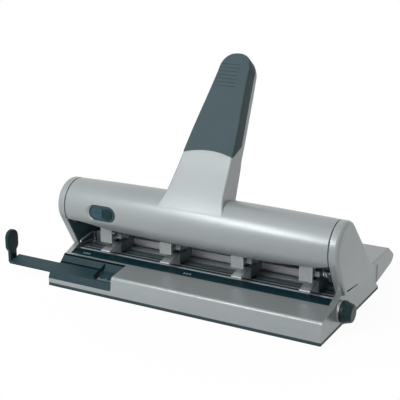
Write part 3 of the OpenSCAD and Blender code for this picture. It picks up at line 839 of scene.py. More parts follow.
@dataclass
class BaseCasting:
    """The silver base with the tray under it."""

    bench: Bench
    half: float = 170.0
    inner: float = 163.2
    front: float = 86.0
    edge_height: float = 25.5
    edge_round: float = 4.0
    seam: float = 33.0
    deck_root: float = 80.0
    holder_end: float = -83.3
    holder_back: float = -53.9
    holder_floor: float = 9.0
    holder_round: float = 3.5
    tray_height: float = 3.6
    end_round: float = 2.2
    cavity: tuple[Point2, ...] = (
        (-83.5, -1.0), (-83.5, 21.6), (-80.8, 23.2), (-50.3, 27.3), (-50.3, 38.0), (77.5, 38.0),
        (77.5, 9.8), (83.5, 3.0), (83.5, -1.0),
    )

    def outline(self) -> list[Point2]:
        """Return the side view of the casting."""
        return filleted(
            [
                (-self.front, self.tray_height, 0.3), (-self.front, 14.0, 8.0),
                (-self.front + 1.3, self.edge_height, self.edge_round), (-50.3, 29.8, 2.5),
                (-33.0, 36.5, 1.2), (12.0, self.seam, 6.0), (self.deck_root, self.seam, 0),
                (self.deck_root, 11.0, 0), (88.5, self.tray_height, 0.8),
            ],
            8,
        )

    def seat(self) -> list[Point2]:
        """Return the front view of the seat of the guide holder."""
        low, end, over = self.holder_floor, self.holder_end, self.seam + 1
        left = -self.half - 2
        return filleted(
            [(left, low, 0), (end, low, self.holder_round), (end, over, 0), (left, over, 0)]
        )

    def build(self) -> None:
        """Build the casting and the tray."""
        body = prism(self.outline(), -self.half, self.half)
        ease(body, self.end_round, 4, at_ends(self.half))
        works = prism(self.cavity, -self.inner, self.inner)
        seat = prism(self.seat(), -self.front - 2, self.holder_back, Axis.Y)
        cut = carved(body, works, seat)
        self.bench.piece(cut, "base_casting", Body.BASE, Slot.SILVER, ["base_shell"])
        tray = ease(self.bench.copied("bottom_tray"), 0.8, 3)
        self.bench.piece(tray, "tray_moulding", Body.BASE, Slot.TRAY, ["bottom_tray"])


@dataclass
class Cheeks:
    """The two end cheeks that carry the lever shaft."""

    bench: Bench
    inner: float = 163.2
    outer: float = 174.2
    edge: float = 4.4
    liner: float = 0.7
    liner_inset: float = 1.0
    shaft: Point2 = (-31.0, 88.7)
    radius: float = 28.4
    foot: float = 10.0
    # Places of the two feet, in radii from the shaft.
    front_foot: Point2 = (0.41, -1.975)
    rear_foot: Point2 = (3.165, -2.254)
    # A place and the direction that is cut off there.
    cuts: tuple[tuple[Corner, Corner], ...] = (
        ((0, 56.95, 0), (0, 1, 0)), ((0, -33.0, 36.5), (0, -3.5, -45.0)),
        ((0, 12.0, 33.0), (0, 0, -1)),
    )

    def half_shape(self, low: float, high: float, inset: float) -> BMesh:
        """Return the right cheek or its liner.

        Args:
            low: Its inner face.
            high: Its outer face.
            inset: How far its outline is drawn in.

        Returns:
            The shape.
        """
        y, z = self.shaft
        circles = [(y, z, self.radius - inset)]
        for across, up in (self.front_foot, self.rear_foot):
            circles.append((y + self.radius * across, z + self.radius * up, self.foot - inset))
        bm = prism(circle_hull(circles, 40), low, high)
        if not inset:
            ease(bm, self.edge, 10, lambda e: min(v.co.x for v in e.verts) > high - 0.01, 20)
        for spot, normal in self.cuts:
            bmesh.ops.bisect_plane(
                bm, geom=bm.verts[:] + bm.edges[:] + bm.faces[:], plane_co=spot,
                plane_no=Vector(normal).normalized(), clear_outer=True,
            )
            bmesh.ops.holes_fill(bm, edges=[e for e in bm.edges if e.is_boundary])
        bmesh.ops.recalc_face_normals(bm, faces=bm.faces[:])
        return bm

    def build(self) -> None:
        """Build both cheeks and their dark inner faces."""
        mid = self.inner + self.liner
        for side, name in ((1, "right"), (-1, "left")):
            cheek = self.half_shape(mid, self.outer, 0.0)
            liner = self.half_shape(self.inner, mid, self.liner_inset)
            for bm in (cheek, liner):
                if side < 0:
                    bmesh.ops.scale(bm, vec=(-1, 1, 1), verts=bm.verts[:])
                    bmesh.ops.reverse_faces(bm, faces=bm.faces[:])
            node = f"{name}_cheek"
            self.bench.piece(cheek, f"cheek_{name}", Body.BASE, Slot.SILVER, [node])
            self.bench.piece(
                liner, f"cheek_liner_{name}", Body.BASE, Slot.SILVER, [node], Shop.LINER
            )


@dataclass
class RearCasing:
    """The deck behind the cheeks and the sloped cover over the works."""

    bench: Bench
    half: float = 171.0
    inner: float = 163.2
    skin: float = 2.5
    back: float = 142.0
    top: float = 40.8
    bottom: float = 33.0
    end_round: float = 2.6
    slot: Point2 = (56.0, 81.0)

    def outline(self, inset: float) -> list[Point2]:
        """Return the side view of the deck."""
        b, t = self.back, self.top
        return filleted(
            [
                (57.0, self.bottom, 0), (57.0, t - inset, 1.6), (b - 22.0, t - inset, 4.0),
                (b + 0.2 - inset, 25.8 - inset * 0.2, 5.0), (b - 11.0, 18.2 + inset, 9.0),
                (93.0, 12.5 + inset, 20.0), (80.0, 11.0 + inset, 0), (80.0, self.bottom, 0),
            ],
            8,
        )

    def build(self) -> None:
        """Build the deck and the cover."""
        deck = prism(self.outline(0.0), -self.half, self.half)
        ease(deck, self.end_round, 5, at_ends(self.half))
        space = prism(self.outline(self.skin), -self.inner, self.inner)
        front, back = self.slot
        slot = slab(
            (-self.inner, front, self.bottom - 1), (self.inner, back, self.top - self.skin)
        )
        shell = carved(deck, space, slot)
        self.bench.piece(shell, "rear_deck_shell", Body.BASE, Slot.SILVER, ["rear_deck"])
        self.bench.eased("rear_cover", "sloped_cover", Slot.SILVER, 0.5)


@dataclass
class WorkSurface:
    """The paper table, the scale strip and the rail behind the units."""

    bench: Bench
    half: float = 162.9
    table_top: float = 31.4
    label_places: Point2 = (-149.5, -13.0)
    label_size: float = 4.6
    label_front: float = -45.2
    label_low: float = 30.2
    label_rise: float = 0.2
    hook_centre: Point2 = (-35.0, 57.5)
    hook_radius: float = 3.0
    hook_start: float = 150.0
    hook_pitch: float = 0.14
    hook_steps: int = 49
    hook_end: float = 163.6
    hook_wire: float = 0.6
    rod_radius: float = 0.9
    # Side view of a black sheet that paints the shadow under the right cheek's front foot.
    seam: tuple[Point2, ...] = (
        (-28.0, 40.4), (-27.0, 38.9), (5.1, 36.2), (5.1, 36.7), (-26.0, 40.3)
    )
    rod_path: tuple[Corner, ...] = (
        (-160.6, -5.0, 31.5), (-160.6, -5.4, 41.0), (-160.5, -6.6, 43.8), (-160.1, -9.4, 45.0),
        (-156.8, -26.0, 45.0), (-153.9, -40.6, 45.0), (-153.5, -42.6, 44.4), (-153.4, -43.6, 42.6),
    )
    seam_from: float = 173.9
    seam_to: float = 174.45

    def label(self, x: float) -> BMesh:
        """Return a small group of numbers that lies on the scale window."""
        curve = bpy.data.curves.new("numbers", "FONT")
        curve.body = "8 8 8"
        curve.size = self.label_size
        curve.extrude = self.label_rise
        curve.resolution_u = 2
        holder = linked("numbers", curve)
        graph = bpy.context.evaluated_depsgraph_get()
        made = bpy.data.meshes.new_from_object(holder.evaluated_get(graph))
        bm = bmesh.new()
        bm.from_mesh(made)
        bpy.data.meshes.remove(made)
        bpy.data.objects.remove(holder)
        bpy.data.curves.remove(curve)
        bmesh.ops.remove_doubles(bm, verts=bm.verts[:], dist=0.001)
        bmesh.ops.translate(bm, vec=(x, self.label_front, self.label_low), verts=bm.verts[:])
        return bm

    def hook(self) -> BMesh:
        """Return the open end of the return spring by the right cheek."""
        y, z = self.hook_centre
        path = []
        for k in range(self.hook_steps):
            turn, r = FULL_TURN * k / 20, self.hook_radius
            x = self.hook_start + self.hook_pitch * k
            path.append(Vector((x, y + r * math.cos(turn), z + r * math.sin(turn))))
        path.append(Vector((self.hook_end, y + 1.0, z + r)))
        return tube(path, self.hook_wire)

    def rod(self) -> BMesh:
        """Return the bent rod beside the left cheek."""
        return tube([Vector(spot) for spot in self.rod_path], self.rod_radius)

    def build(self) -> None:
        """Build the flat parts between the cheeks."""
        bench, half, top = self.bench, self.half, self.table_top
        bench.eased("paper_table", "table_plate", Slot.SHEET, 0.35, Shop.BED)
        bench.eased("scale_strip", "scale_window", Slot.DARK, 0.3, Shop.WINDOW)
        # Name, front, back, underside, thickness and finish of each thin strip.
        plates = (
            ("table_rear_sheet", -7.2, 2.2, top, 0.28, Shop.SHEET),
            # The two bright zinc strips are painted highlights along the stop's edge and the
            # table's front edge.
            ("table_stop_line", -9.2, -7.3, top, 0.32, Shop.ZINC),
            ("table_front_line", -26.3, -25.0, top, 0.3, Shop.ZINC),
            ("strip_ridge", -33.2, -30.8, 30.4, 1.0, Shop.SHEET),
        )
        for name, front, back, low, rise, finish in plates:
            plate = ease(slab((-half, front, low), (half, back, low + rise)), 0.08, 1)
            bench.piece(plate, name, Body.BASE, Slot.SHEET, finish=finish)
        left, right = (self.label(x) for x in self.label_places)
        seam = prism(self.seam, self.seam_from, self.seam_to)
        small: tuple[tuple[str, BMesh, Slot, Finish], ...] = (
            ("window_numbers_1", left, Slot.DARK, Shop.INK),
            ("window_numbers_2", right, Slot.DARK, Shop.INK),
            ("return_spring_hook", self.hook(), Slot.SPRING, Shop.ZINC),
            # A black sheet paints the shadow under the right cheek's foot.
            ("cheek_foot_seam", seam, Slot.DARK, Shop.BLACK),
            ("left_stop_rod", self.rod(), Slot.STEEL, Shop.ZINC),
        )
        for name, shape, slot, finish in small:
            bench.piece(shape, name, Body.BASE, slot, finish=finish)
        bench.eased("rear_rail", "stop_rail", Slot.SHEET, 0.4, Shop.RAIL)
        bench.dress(["guide_rod", "cheek_screws", "table_screws", "knob_shaft"], Shop.STEEL)
        bench.dress(["shaft_bushes"], Shop.BRONZE)
        bench.dress(["return_spring"], Shop.SPRING)
        bench.dress(["scale_drum"], Shop.DRUM)


# ------------------------------------------------------------------- lever


@dataclass
class Hood:
    """The crowned hood over the punch units."""

    bench: Bench
    shaft: Vector = field(default_factory=lambda: Vector((0.0, -31.0, 88.7)))
    radius: float = 28.4
    bow: float = 2.0
    wall: float = 2.4
    half: float = 162.8
    back_edge: float = -2.0
    front_edge: float = 237.0
    fixed_to: float = 150.0
    lip: float = 0.7
    edge_top: float = 72.82
    edge_drop: float = 9.61
    edge_round: float = 2.0
    # Shares of the half length, and how much of the drop the front edge has there.
    edge_shares: tuple[Point2, ...] = (
        (-1.0, 0.0), (-0.87, 0.05), (-0.74, 0.38), (-0.6, 0.66), (-0.4, 0.8), (-0.1, 0.87),
        (0.2, 0.97), (0.45, 1.0), (0.65, 0.84), (0.82, 0.62), (0.94, 0.36), (1.0, 0.0),
    )

    def reach(self, x: float) -> float:
        """Return the hood's outer radius at a place along the shaft."""
        return self.radius + self.bow * (1 - (x / self.half) ** 2)

    def section(self) -> list[Point2]:
        """Return the wall's section as places along X and radii."""
        rounds, spans = 4, 40
        end = []
        for k in range(rounds + 1):
            turn = QUARTER * k / rounds
            x = -self.half + self.lip * (1 - math.sin(turn))
            end.append((x, self.reach(self.half) - self.lip * (1 - math.cos(turn))))
        end.sort(key=lambda p: p[0])
        start = -self.half + self.lip
        along = [start * (1 - 2 * i / spans) for i in range(1, spans)]
        back = [self.half * (1 - 2 * i / spans) for i in range(spans + 1)]
        outer = end + [(x, self.reach(x)) for x in along] + [(-x, r) for x, r in reversed(end)]
        return outer + [(x, self.reach(x) - self.wall) for x in back]

    def shell(self) -> BMesh:
        """Spin the wall's section about the lever shaft."""
        bm = bmesh.new()
        start = math.radians(self.back_edge)
        y, z = self.shaft.y, self.shaft.z
        section = self.section()
        verts = [
            bm.verts.new((x, y + r * math.cos(start), z + r * math.sin(start))) for x, r in section
        ]
        edges = [bm.edges.new(pair) for pair in zip(verts, verts[1:] + verts[:1])]
        bmesh.ops.spin(
            bm, geom=verts + edges, cent=self.shaft, axis=(1, 0, 0),
            angle=math.radians(self.front_edge - self.back_edge), steps=110, use_merge=False,
        )
        bmesh.ops.edgeloop_fill(bm, edges=[e for e in bm.edges if e.is_boundary])
        self.trim(bm)
        bmesh.ops.recalc_face_normals(bm, faces=bm.faces[:])
        return bm

    def edge_angle(self, x: float) -> float:
        """Return the angle at which the front edge ends at a place."""
        share = through(self.edge_shares, x / self.half)
        fall = self.shaft.z - self.edge_top + self.edge_drop * share
        return 180.0 + math.degrees(math.asin(fall / self.reach(x)))

    def trim(self, bm: BMesh) -> None:
        """Draw the front of the spun wall up to the edge and round it."""
        for vert in bm.verts:
            dy, dz = vert.co.y - self.shaft.y, vert.co.z - self.shaft.z
            r = math.hypot(dy, dz)
            angle = math.degrees(math.atan2(dz, dy)) % 360.0
            if not self.fixed_to < angle < self.front_edge + 1.0:
                continue
            last = self.edge_angle(vert.co.x)
            span = self.front_edge - self.fixed_to
            angle = self.fixed_to + (angle - self.fixed_to) * (last - self.fixed_to) / span
            left = math.radians(last - angle) * r
            if left < self.edge_round and r > self.reach(vert.co.x) - self.wall / 2:
                gap = self.edge_round - left
                r -= self.edge_round - math.sqrt(self.edge_round**2 - gap * gap)
            turn = math.radians(angle)
            vert.co.y = self.shaft.y + r * math.cos(turn)
            vert.co.z = self.shaft.z + r * math.sin(turn)

    def drum(self, inset: float) -> BMesh:
        """Return the full round body inside the hood's skin."""
        half = self.half
        skin = [(x, self.reach(x) - inset) for x in (half * (i / 12 - 1) for i in range(25))]
        return turned([(-half, 0.0), *skin, (half, 0.0)], self.shaft, Axis.X, 120)

    def build(self, lock: "SlideLock") -> None:
        """Build the hood and dress what it hides.

        Args:
            lock: The lock whose dish is cut into the hood.
        """
        shell = carved(self.shell(), lock.dish())
        self.bench.piece(shell, "painted_hood", Body.LEVER, Slot.SILVER, ["hood_shell"], smooth=28)
        self.bench.dress(["hood_plate_left", "hood_plate_right"], Shop.PHOSPHATE)
        self.bench.dress(["lever_shaft", "handle_arm"], Shop.STEEL)
        self.bench.eased("cam_bar", "cam_bar_milled", Slot.STEEL, 0.4, Shop.PHOSPHATE)


@dataclass
class SlideLock:
    """The oval slide lock let into the hood."""

    bench: Bench
    x: float = -111.8
    z: float = 88.7
    half: float = 8.75
    radius: float = 8.5
    face: float = -59.2
    floor: float = -58.4
    back: float = -56.5
    button_shift: float = 7.6
    button_radius: float = 6.6
    # Left end, right end and half height, from the lock's or the button's middle.
    slit: Corner = (-9.0, 1.0, 0.4)
    ridge: Corner = (-7.6, -6.4, 5.2)

    def oval(self, grow: float, y: float, shift: float = 0.0, steps: int = 16) -> list[Vector]:
        """Return a slot-shaped ring in a plane square to Y.

        Args:
            grow: How far it stands outside the bezel.
            y: The plane.
            shift: How far its left end is drawn out.
            steps: Segments of each end.

        Returns:
            The points of the ring.
        """
        ring = []
        r = self.radius + grow
        for end, first in ((self.x + self.half, 0), (self.x - self.half - shift, math.pi)):
            for k in range(steps + 1):
                turn = math.pi * (k / steps - 0.5) + first
                ring.append(Vector((end + r * math.cos(turn), y, self.z + r * math.sin(turn))))
        return ring

    def dish(self) -> BMesh:
        """Return the cutter of the countersunk dish."""
        # How far each ring stands outside the bezel, its plane and its left shift.
        depths = ((4.2, -64.0, 3.5), (2.4, -60.6, 2.4), (0.15, -58.0, 0.0), (0.1, -50.0, 0.0))
        return pulled([self.oval(*depth) for depth in depths])

    def disc(self, x: float, radius: float, back: float, front: float) -> BMesh:
        """Return a domed round button that faces the front."""
        profile = [
            (back, 0.0), (back, radius), (front + 0.5, radius), (front + 0.15, radius - 0.5),
            (front, radius - 1.2), (front - 0.1, 0.0),
        ]
        return turned(profile, Vector((x, 0.0, self.z)), Axis.Y, 48)

    def build(self) -> None:
        """Build the bezel and the sliding button."""
        rim = pulled([self.oval(0.0, self.face), self.oval(0.0, self.back)])
        pocket = pulled([self.oval(-1.1, self.face - 1.0), self.oval(-1.1, self.floor)])
        z, floor = self.z, self.floor
        left, right, rise = self.slit
        low = (self.x + left, floor - 1.0, z - rise)
        slit = slab(low, (self.x + right, floor + 0.6, z + rise))
        bezel = carved(ease(rim, 0.35, 3), pocket, slit)
        self.bench.piece(
            bezel, "lock_surround", Body.LEVER, Slot.PETROL, ["lock_bezel"], Shop.LOCK
        )
        x = self.x + self.button_shift
        knob = self.disc(x, self.button_radius, floor - 0.05, floor - 1.3)
        self.bench.piece(knob, "lock_slider", Body.LOCK, Slot.DARK, ["lock_button"])
        left, right, rise = self.ridge
        bar = slab((x + left, floor - 1.5, z - rise), (x + right, floor - 0.05, z + rise))
        self.bench.piece(ease(bar, 0.3, 2), "lock_ridge", Body.LOCK, Slot.DARK, finish=Shop.LOCK)


@dataclass
class Handle:
    """The long handle: silver shell and moulded grip."""

    bench: Bench
    hood: Hood
    lean: float = 36.0
    length: float = 196.7
    tip_start: float = 173.0
    narrow: float = 19.5
    front: float = -28.4
    split: float = -12.0
    arch: float = 74.9
    arch_radius: float = 88.0
    arch_slant: float = 1.2
    seam: float = 0.25
    grip_proud: float = 0.35
    # How deep the shell's foot stands in the hood's skin.
    sunk: float = 0.4
    groove_from: float = 153.5
    groove_step: float = 4.6
    grooves: int = 7
    groove_width: float = 0.7
    groove_depth: float = 0.45
    groove_reach: float = 0.35
    front_round: float = 2.2
    back_round: float = 3.0
    root: float = 60.0
    crest: float = 3.0
    crest_round: float = 1.6
    zone_half: float = 45.0
    zone_top: float = 240.0
    zone_front: float = -40.0
    # Shares of the length, and how much wider than the tip the handle is there.
    widths: tuple[Point2, ...] = (
        (0.0, 1.14), (0.03, 1.06), (0.06, 0.955), (0.09, 0.87), (0.12, 0.81), (0.16, 0.765),
        (0.22, 0.715), (0.305, 0.64), (0.5, 0.455), (0.71, 0.195), (0.878, 0.0),
    )
    tip_power: float = 2.6
    tip_reach: float = 0.9985
    # Heights up the handle, and how far its back stands behind the shaft's line.
    backs: tuple[Point2, ...] = (
        (0.0, 4.21), (30.5, 4.21), (44.9, 2.59), (55.9, 1.5), (67.6, 0.33), (76.8, -1.8),
        (151.7, -1.8), (171.0, -2.6), (179.3, -3.93), (187.2, -7.65), (193.5, -12.44),
        (197.0, -20.95),
    )

    def spot(self, x: float, u: float, v: float) -> Vector:
        """Return a place given up the handle and along its back normal."""
        cos, sin = math.cos(math.radians(self.lean)), math.sin(math.radians(self.lean))
        shaft = self.hood.shaft
        return Vector((x, shaft.y + u * sin + v * cos, shaft.z + u * cos - v * sin))

    def width(self, u: float) -> float:
        """Return the half width at a height."""
        if u <= self.tip_start:
            return self.narrow * (1 + through(self.widths, u / self.length))
        share = (u - self.tip_start) / (self.length - self.tip_start)
        return self.narrow * math.sqrt(max(0.0, 1 - share**self.tip_power))

    def ring(self, u: float, grow: float) -> list[Vector]:
        """Return the section at a height, as a closed ring.

        Args:
            u: The height.
            grow: How far the section stands proud.

        Returns:
            The points of the ring.
        """
        wide = self.width(u) + grow
        crown = self.hood.reach(0.0)
        low = -crown + (crown + self.front) * smoothstep(u / self.root) - grow
        high = through(self.backs, u) + grow
        late = max(0.0, (u - self.length + self.crest) / self.crest)
        low += self.crest_round * late * late
        deep = high - low
        rf = min(self.front_round, 0.7 * wide, 0.4 * deep)
        rb = min(self.back_round, 0.7 * wide, 0.4 * deep)
        turns = [QUARTER * k / 6 for k in range(7)]
        half = [((wide - rf) * k / 4, low) for k in range(4)]
        half += [(wide - rf + rf * math.sin(t), low + rf - rf * math.cos(t)) for t in turns]
        half.append((wide, (low + high) / 2))
        half += [(wide - rb + rb * math.cos(t), high - rb + rb * math.sin(t)) for t in turns]
        half += [((wide - rb) * (1 - k / 4), high) for k in range(1, 5)]
        right = [self.spot(x, u, v) for x, v in half]
        left = [self.spot(-x, u, v) for x, v in reversed(half[1:-1])]
        return right + left

    def form(self, grow: float, start: float = 2.0) -> BMesh:
        """Return the whole handle as one closed body."""
        tip, span = self.tip_start, self.length - self.tip_start
        rows = [start + (tip - start) * k / 44 for k in range(45)]
        rows += [tip + span * math.sin(QUARTER * k / 22) * self.tip_reach for k in range(1, 23)]
        return pulled([self.ring(u, grow) for u in rows])

    def zone(self, gap: float) -> BMesh:
        """Return the space of the grip.

        Args:
            gap: How far its borders are drawn back.

        Returns:
            A closed bmesh.
        """
        rings = []
        wide, top = self.zone_half, self.zone_top
        for v in (self.zone_front, self.split - gap):
            ring = []
            for k in range(31):
                x = wide * (k / 15 - 1)
                u = self.arch - x * x / (2 * self.arch_radius) + self.arch_slant * (v - self.front)
                ring.append(self.spot(x, u + gap, v))
            rings.append([*ring, self.spot(wide, top, v), self.spot(-wide, top, v)])
        return pulled(rings)

    def groove(self, u: float) -> BMesh:
        """Return the cutter of one groove across the left of the front."""
        wide = self.width(u) + self.grip_proud
        low, deep = self.front - 2.0, self.front - self.grip_proud + self.groove_depth
        end = u + self.groove_width
        corners = ((u, low), (end, low), (end, deep), (u, deep))
        ends = (-wide - 1.0, wide * self.groove_reach)
        return pulled([[self.spot(x, *corner) for corner in corners] for x in ends])

    def build(self) -> None:
        """Build the shell and the grip."""
        piece, lever = self.bench.piece, Body.LEVER
        shell = carved(self.form(0.0), self.hood.drum(self.sunk), self.zone(0.0))
        piece(shell, "handle_casting", lever, Slot.SILVER, ["handle_shell"], smooth=35)
        grip = carved(self.form(self.grip_proud), self.zone(self.seam), operation="INTERSECT")
        cuts = [self.groove(self.groove_from + k * self.groove_step) for k in range(self.grooves)]
        grip = carved(grip, *cuts)
        piece(grip, "grip_moulding", lever, Slot.RUBBER, ["handle_grip"], smooth=35)


# ------------------------------------------------------------- punch units


@dataclass
class PunchUnit:
    """One sliding punch unit."""

    bench: Bench
    number: int
    x: float
    cap_top: float
    pin_y: float = -20.0
    half: float = 7.5
    cut_half: float = 9.0
    block: Point2 = (-25.0, -15.0)
    block_rise: Point2 = (48.55, 54.55)
    pin_hole: float = 3.0
    lip_half: float = 6.15
    lip: tuple[Point2, ...] = ((-47.0, 40.05), (-24.5, 44.1), (-24.5, 42.3), (-47.0, 38.45))
    cap_front: float = -45.0
    cap_back: float = -42.5
    cap_low: float = 49.0
    ribs: int = 11
    rib_depth: float = 0.4
    rib_gap: float = 0.6
    cap_round: float = 0.7
    release_radius: float = 2.7
    release_wire: float = 0.8
    release_curls: int = 7
    pin_z: float = 51.55
    pin_radius: float = 1.6
    spring_low: float = 54.55
    spring_high: float = 74.0
    spring_radius: float = 4.35
    wire: float = 1.1
    curls: int = 6
    stroke: float = 8.063

    def node(self, part: str) -> str:
        """Return the name of one of the unit's CAD nodes."""
        return f"unit_{self.number}_{part}"

    def coil(self, start: Vector, end: Vector, radius: float, wire: float, curls: int) -> BMesh:
        """Return an open coil between two places.

        Args:
            start: The middle of its first end.
            end: The middle of its other end.
            radius: Radius of the wire's middle.
            wire: Thickness of the wire.
            curls: Count of curls.

        Returns:
            A closed bmesh.
        """
        run = end - start
        side = run.orthogonal().normalized()
        other = run.normalized().cross(side)
        total = curls * 20
        path = []
        for i in range(total + 1):
            turn = FULL_TURN * i / 20
            off = side * math.cos(turn) + other * math.sin(turn)
            path.append(start + run * (i / total) + radius * off)
        return tube(path, wire / 2)

    def at(self, y: float, z: float) -> Vector:
        """Return a place in the unit's middle plane."""
        return Vector((self.x, y, z))

    def cap(self) -> BMesh:
        """Return the ribbed plate over the unit's front."""
        x0, pitch = self.x - self.half, 2 * self.half / self.ribs
        front, low, top, gap = self.cap_front, self.cap_low, self.cap_top, self.rib_gap / 2
        outline = rectangle(x0, low, x0 + 2 * self.half, top, self.cap_round)
        plate = prism(outline, front, self.cap_back, Axis.Y)
        gaps = []
        for x in (x0 + pitch * k for k in range(1, self.ribs)):
            gaps.append(
                slab((x - gap, front - 1, low - 1), (x + gap, front + self.rib_depth, top + 1))
            )
        return carved(ease(plate, 0.2, 2), *gaps)

    def build(self) -> None:
        """Build the unit's pieces."""
        n, x, bench = self.number, self.x, self.bench
        carriage, cap, spring = (self.node(part) for part in ("carriage", "cap", "spring"))
        body = bench.body(carriage)
        front, back = self.block
        low, high = self.block_rise
        left, right = x - self.cut_half, x + self.cut_half
        # The lip and the block are taken off the carriage's copy and made anew.
        lip_space = slab((left, -50.0, 30.0), (right, front - 0.7, high + 1.45))
        block_space = slab((left, front - 0.5, low - 0.3), (right, back + 0.02, high + 5.45))
        works = carved(bench.copied(carriage), lip_space, block_space)
        cube = slab((x - self.half, front, low), (x + self.half, back, high))
        hole = round_bar(40.0, 60.0, self.pin_hole, self.at(self.pin_y, 0.0), Axis.Z, 32)
        lip = prism(self.lip, x - self.lip_half, x + self.lip_half)
        pin = round_bar(
            self.cap_back, front, self.pin_radius, self.at(0.0, self.pin_z), Axis.Y, 24
        )
        for name, shape, finish in (
            ("carriage", works, Shop.BLACKED),
            ("guide_block", carved(ease(cube, 0.5, 3), hole), Shop.SHEET),
            ("paper_lip", ease(lip, 0.35, 2), Shop.ZINC),
            ("cap_pin", pin, Shop.STEEL),
        ):
            bench.piece(shape, f"{name}_{n}", body, Slot.SHEET, [carriage], finish)
        start, end = self.at(self.cap_back + 0.5, self.pin_z), self.at(front - 0.5, self.pin_z)
        release = self.coil(start, end, self.release_radius, self.release_wire, self.release_curls)
        bench.piece(release, f"release_coil_{n}", body, Slot.SPRING)
        bench.piece(self.cap(), f"ribbed_cap_{n}", bench.body(cap), Slot.RIBBED, [cap])
        bench.dress([self.node("die"), self.node("plunger")], Shop.TOOL)
        start = self.at(self.pin_y, self.spring_low + self.wire)
        end = self.at(self.pin_y, self.spring_high - self.wire)
        coil = self.coil(start, end, self.spring_radius, self.wire, self.curls)
        coil = bench.piece(coil, f"coil_{n}", bench.body(spring), Slot.SPRING, [spring])
        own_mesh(coil)


# -------------------------------------------------------------- side parts


@dataclass
class SideGuide:
    """The guide holder on the base and the bar with its stop."""

    bench: Bench
    end: float = -170.0
    window_end: float = -84.0
    # The next outlines place painted shadows: black sheets at the scale window's gap, along the
    # holder's rear edge and in the cover's groove.
    gap_edge: tuple[Corner, ...] = (
        (-108.7, -80.5, 17.4), (-105.3, -80.1, 17.5), (-110.2, -67.5, 20.2), (-108.4, -60.2, 23.4),
        (-109.6, -56.6, 26.9), (-110.9, -56.6, 26.9), (-113.4, -62.2, 21.5), (-113.9, -75.0, 18.6),
    )
    gap_rise: float = 0.3
    rear_run: tuple[Point2, ...] = ((-55.6, 27.9), (-54.1, 29.3))
    groove_run: tuple[Point2, ...] = ((-63.4, 21.1), (-62.4, 21.35), (-61.6, 22.1))
    groove_end: float = -112.0
    marks: int = 9
    mark_start: float = -105.5
    mark_step: float = 2.4
    mark_root: Point2 = (-80.5, 17.45)
    mark_lengths: Point2 = (4.5, 2.6)
    mark_slope: float = 0.2157

    def strip(self, x0: float, x1: float, run: Sequence[Point2], rise: float) -> BMesh:
        """Return a thin strip along X that follows a side view.

        Args:
            x0: Its left end.
            x1: Its right end.
            run: Places along Y and Z, from the front to the back.
            rise: Its thickness.

        Returns:
            A closed bmesh.
        """
        outline = [*run, *((y, z + rise) for y, z in reversed(run))]
        return prism(outline, x0, x1)

    def build(self) -> None:
        """Build the holder, the bar and the stop."""
        bench, body = self.bench, Body.BASE
        bench.eased("guide_holder", "guide_housing", Slot.PETROL, 0.5)
        bench.eased("guide_bar", "guide_slider", Slot.PETROL, 0.4)
        bench.eased("guide_stop", "guide_paddle", Slot.DARK, 1.2)
        # Black sheets paint the shadows at the scale window, along the holder's rear edge and in
        # the cover's groove.
        gap = drawn_out([Vector(spot) for spot in self.gap_edge], Vector((0, 0, self.gap_rise)))
        bench.piece(gap, "guide_window_gap", body, Slot.PETROL, finish=Shop.BLACK)
        left = self.end + 0.4
        rear = self.strip(left, self.window_end, self.rear_run, 0.3)
        bench.piece(rear, "guide_rear_gap", body, Slot.PETROL, finish=Shop.BLACK)
        groove = self.strip(left, self.groove_end, self.groove_run, 0.25)
        bench.piece(groove, "guide_cover_groove", body, Slot.PETROL, finish=Shop.BLACK)
        lines = []
        y, z = self.mark_root
        for k in range(self.marks):
            x = self.mark_start + self.mark_step * k
            long = self.mark_lengths[0 if k % 4 == 0 else 1]
            run = ((y, z), (y + long, z + self.mark_slope * long))
            lines.append(self.strip(x, x + 0.5, run, 0.2))
        bench.piece(merged(*lines), "guide_scale_marks", body, Slot.PETROL, finish=Shop.INK)


@dataclass
class ScaleKnob:
    """The knob that turns the scale drum."""

    bench: Bench
    centre: Vector = field(default_factory=lambda: Vector((0.0, -38.15, 21.0)))
    start: float = 173.95
    length: float = 12.3
    radius: float = 12.4
    flutes: int = 12
    # Middle of a flute, in radii of the knob.
    flute_place: float = 0.92
    flute_radius: float = 0.7

    def build(self) -> None:
        """Build the knob and its collar."""
        s, e, r = self.start, self.start + self.length, self.radius
        profile = [
            (s, 0.0), (s, r * 0.93), (s + 0.6, r * 0.99), (s + 3.4, r), (s + 4.2, r * 0.95),
            (e - 1.6, r * 0.8), (e - 0.7, r * 0.76), (e - 0.2, r * 0.7), (e, r * 0.6),
            (e - 0.4, 0.0),
        ]
        body = turned(profile, self.centre, Axis.X, 72)
        flutes = []
        for turn in (FULL_TURN * k / self.flutes for k in range(self.flutes)):
            off = Vector((0, math.cos(turn), math.sin(turn)))
            spot = self.centre + self.flute_place * r * off
            flutes.append(round_bar(s + 4.4, e + 2, self.flute_radius, spot, Axis.X, 16))
        knob = carved(body, *flutes)
        self.bench.piece(knob, "fluted_knob", Body.KNOB, Slot.DARK, ["knob"])
        self.bench.eased("knob_collar", "collar_ring", Slot.SILVER, 0.4)


# ------------------------------------------------------------------ studio


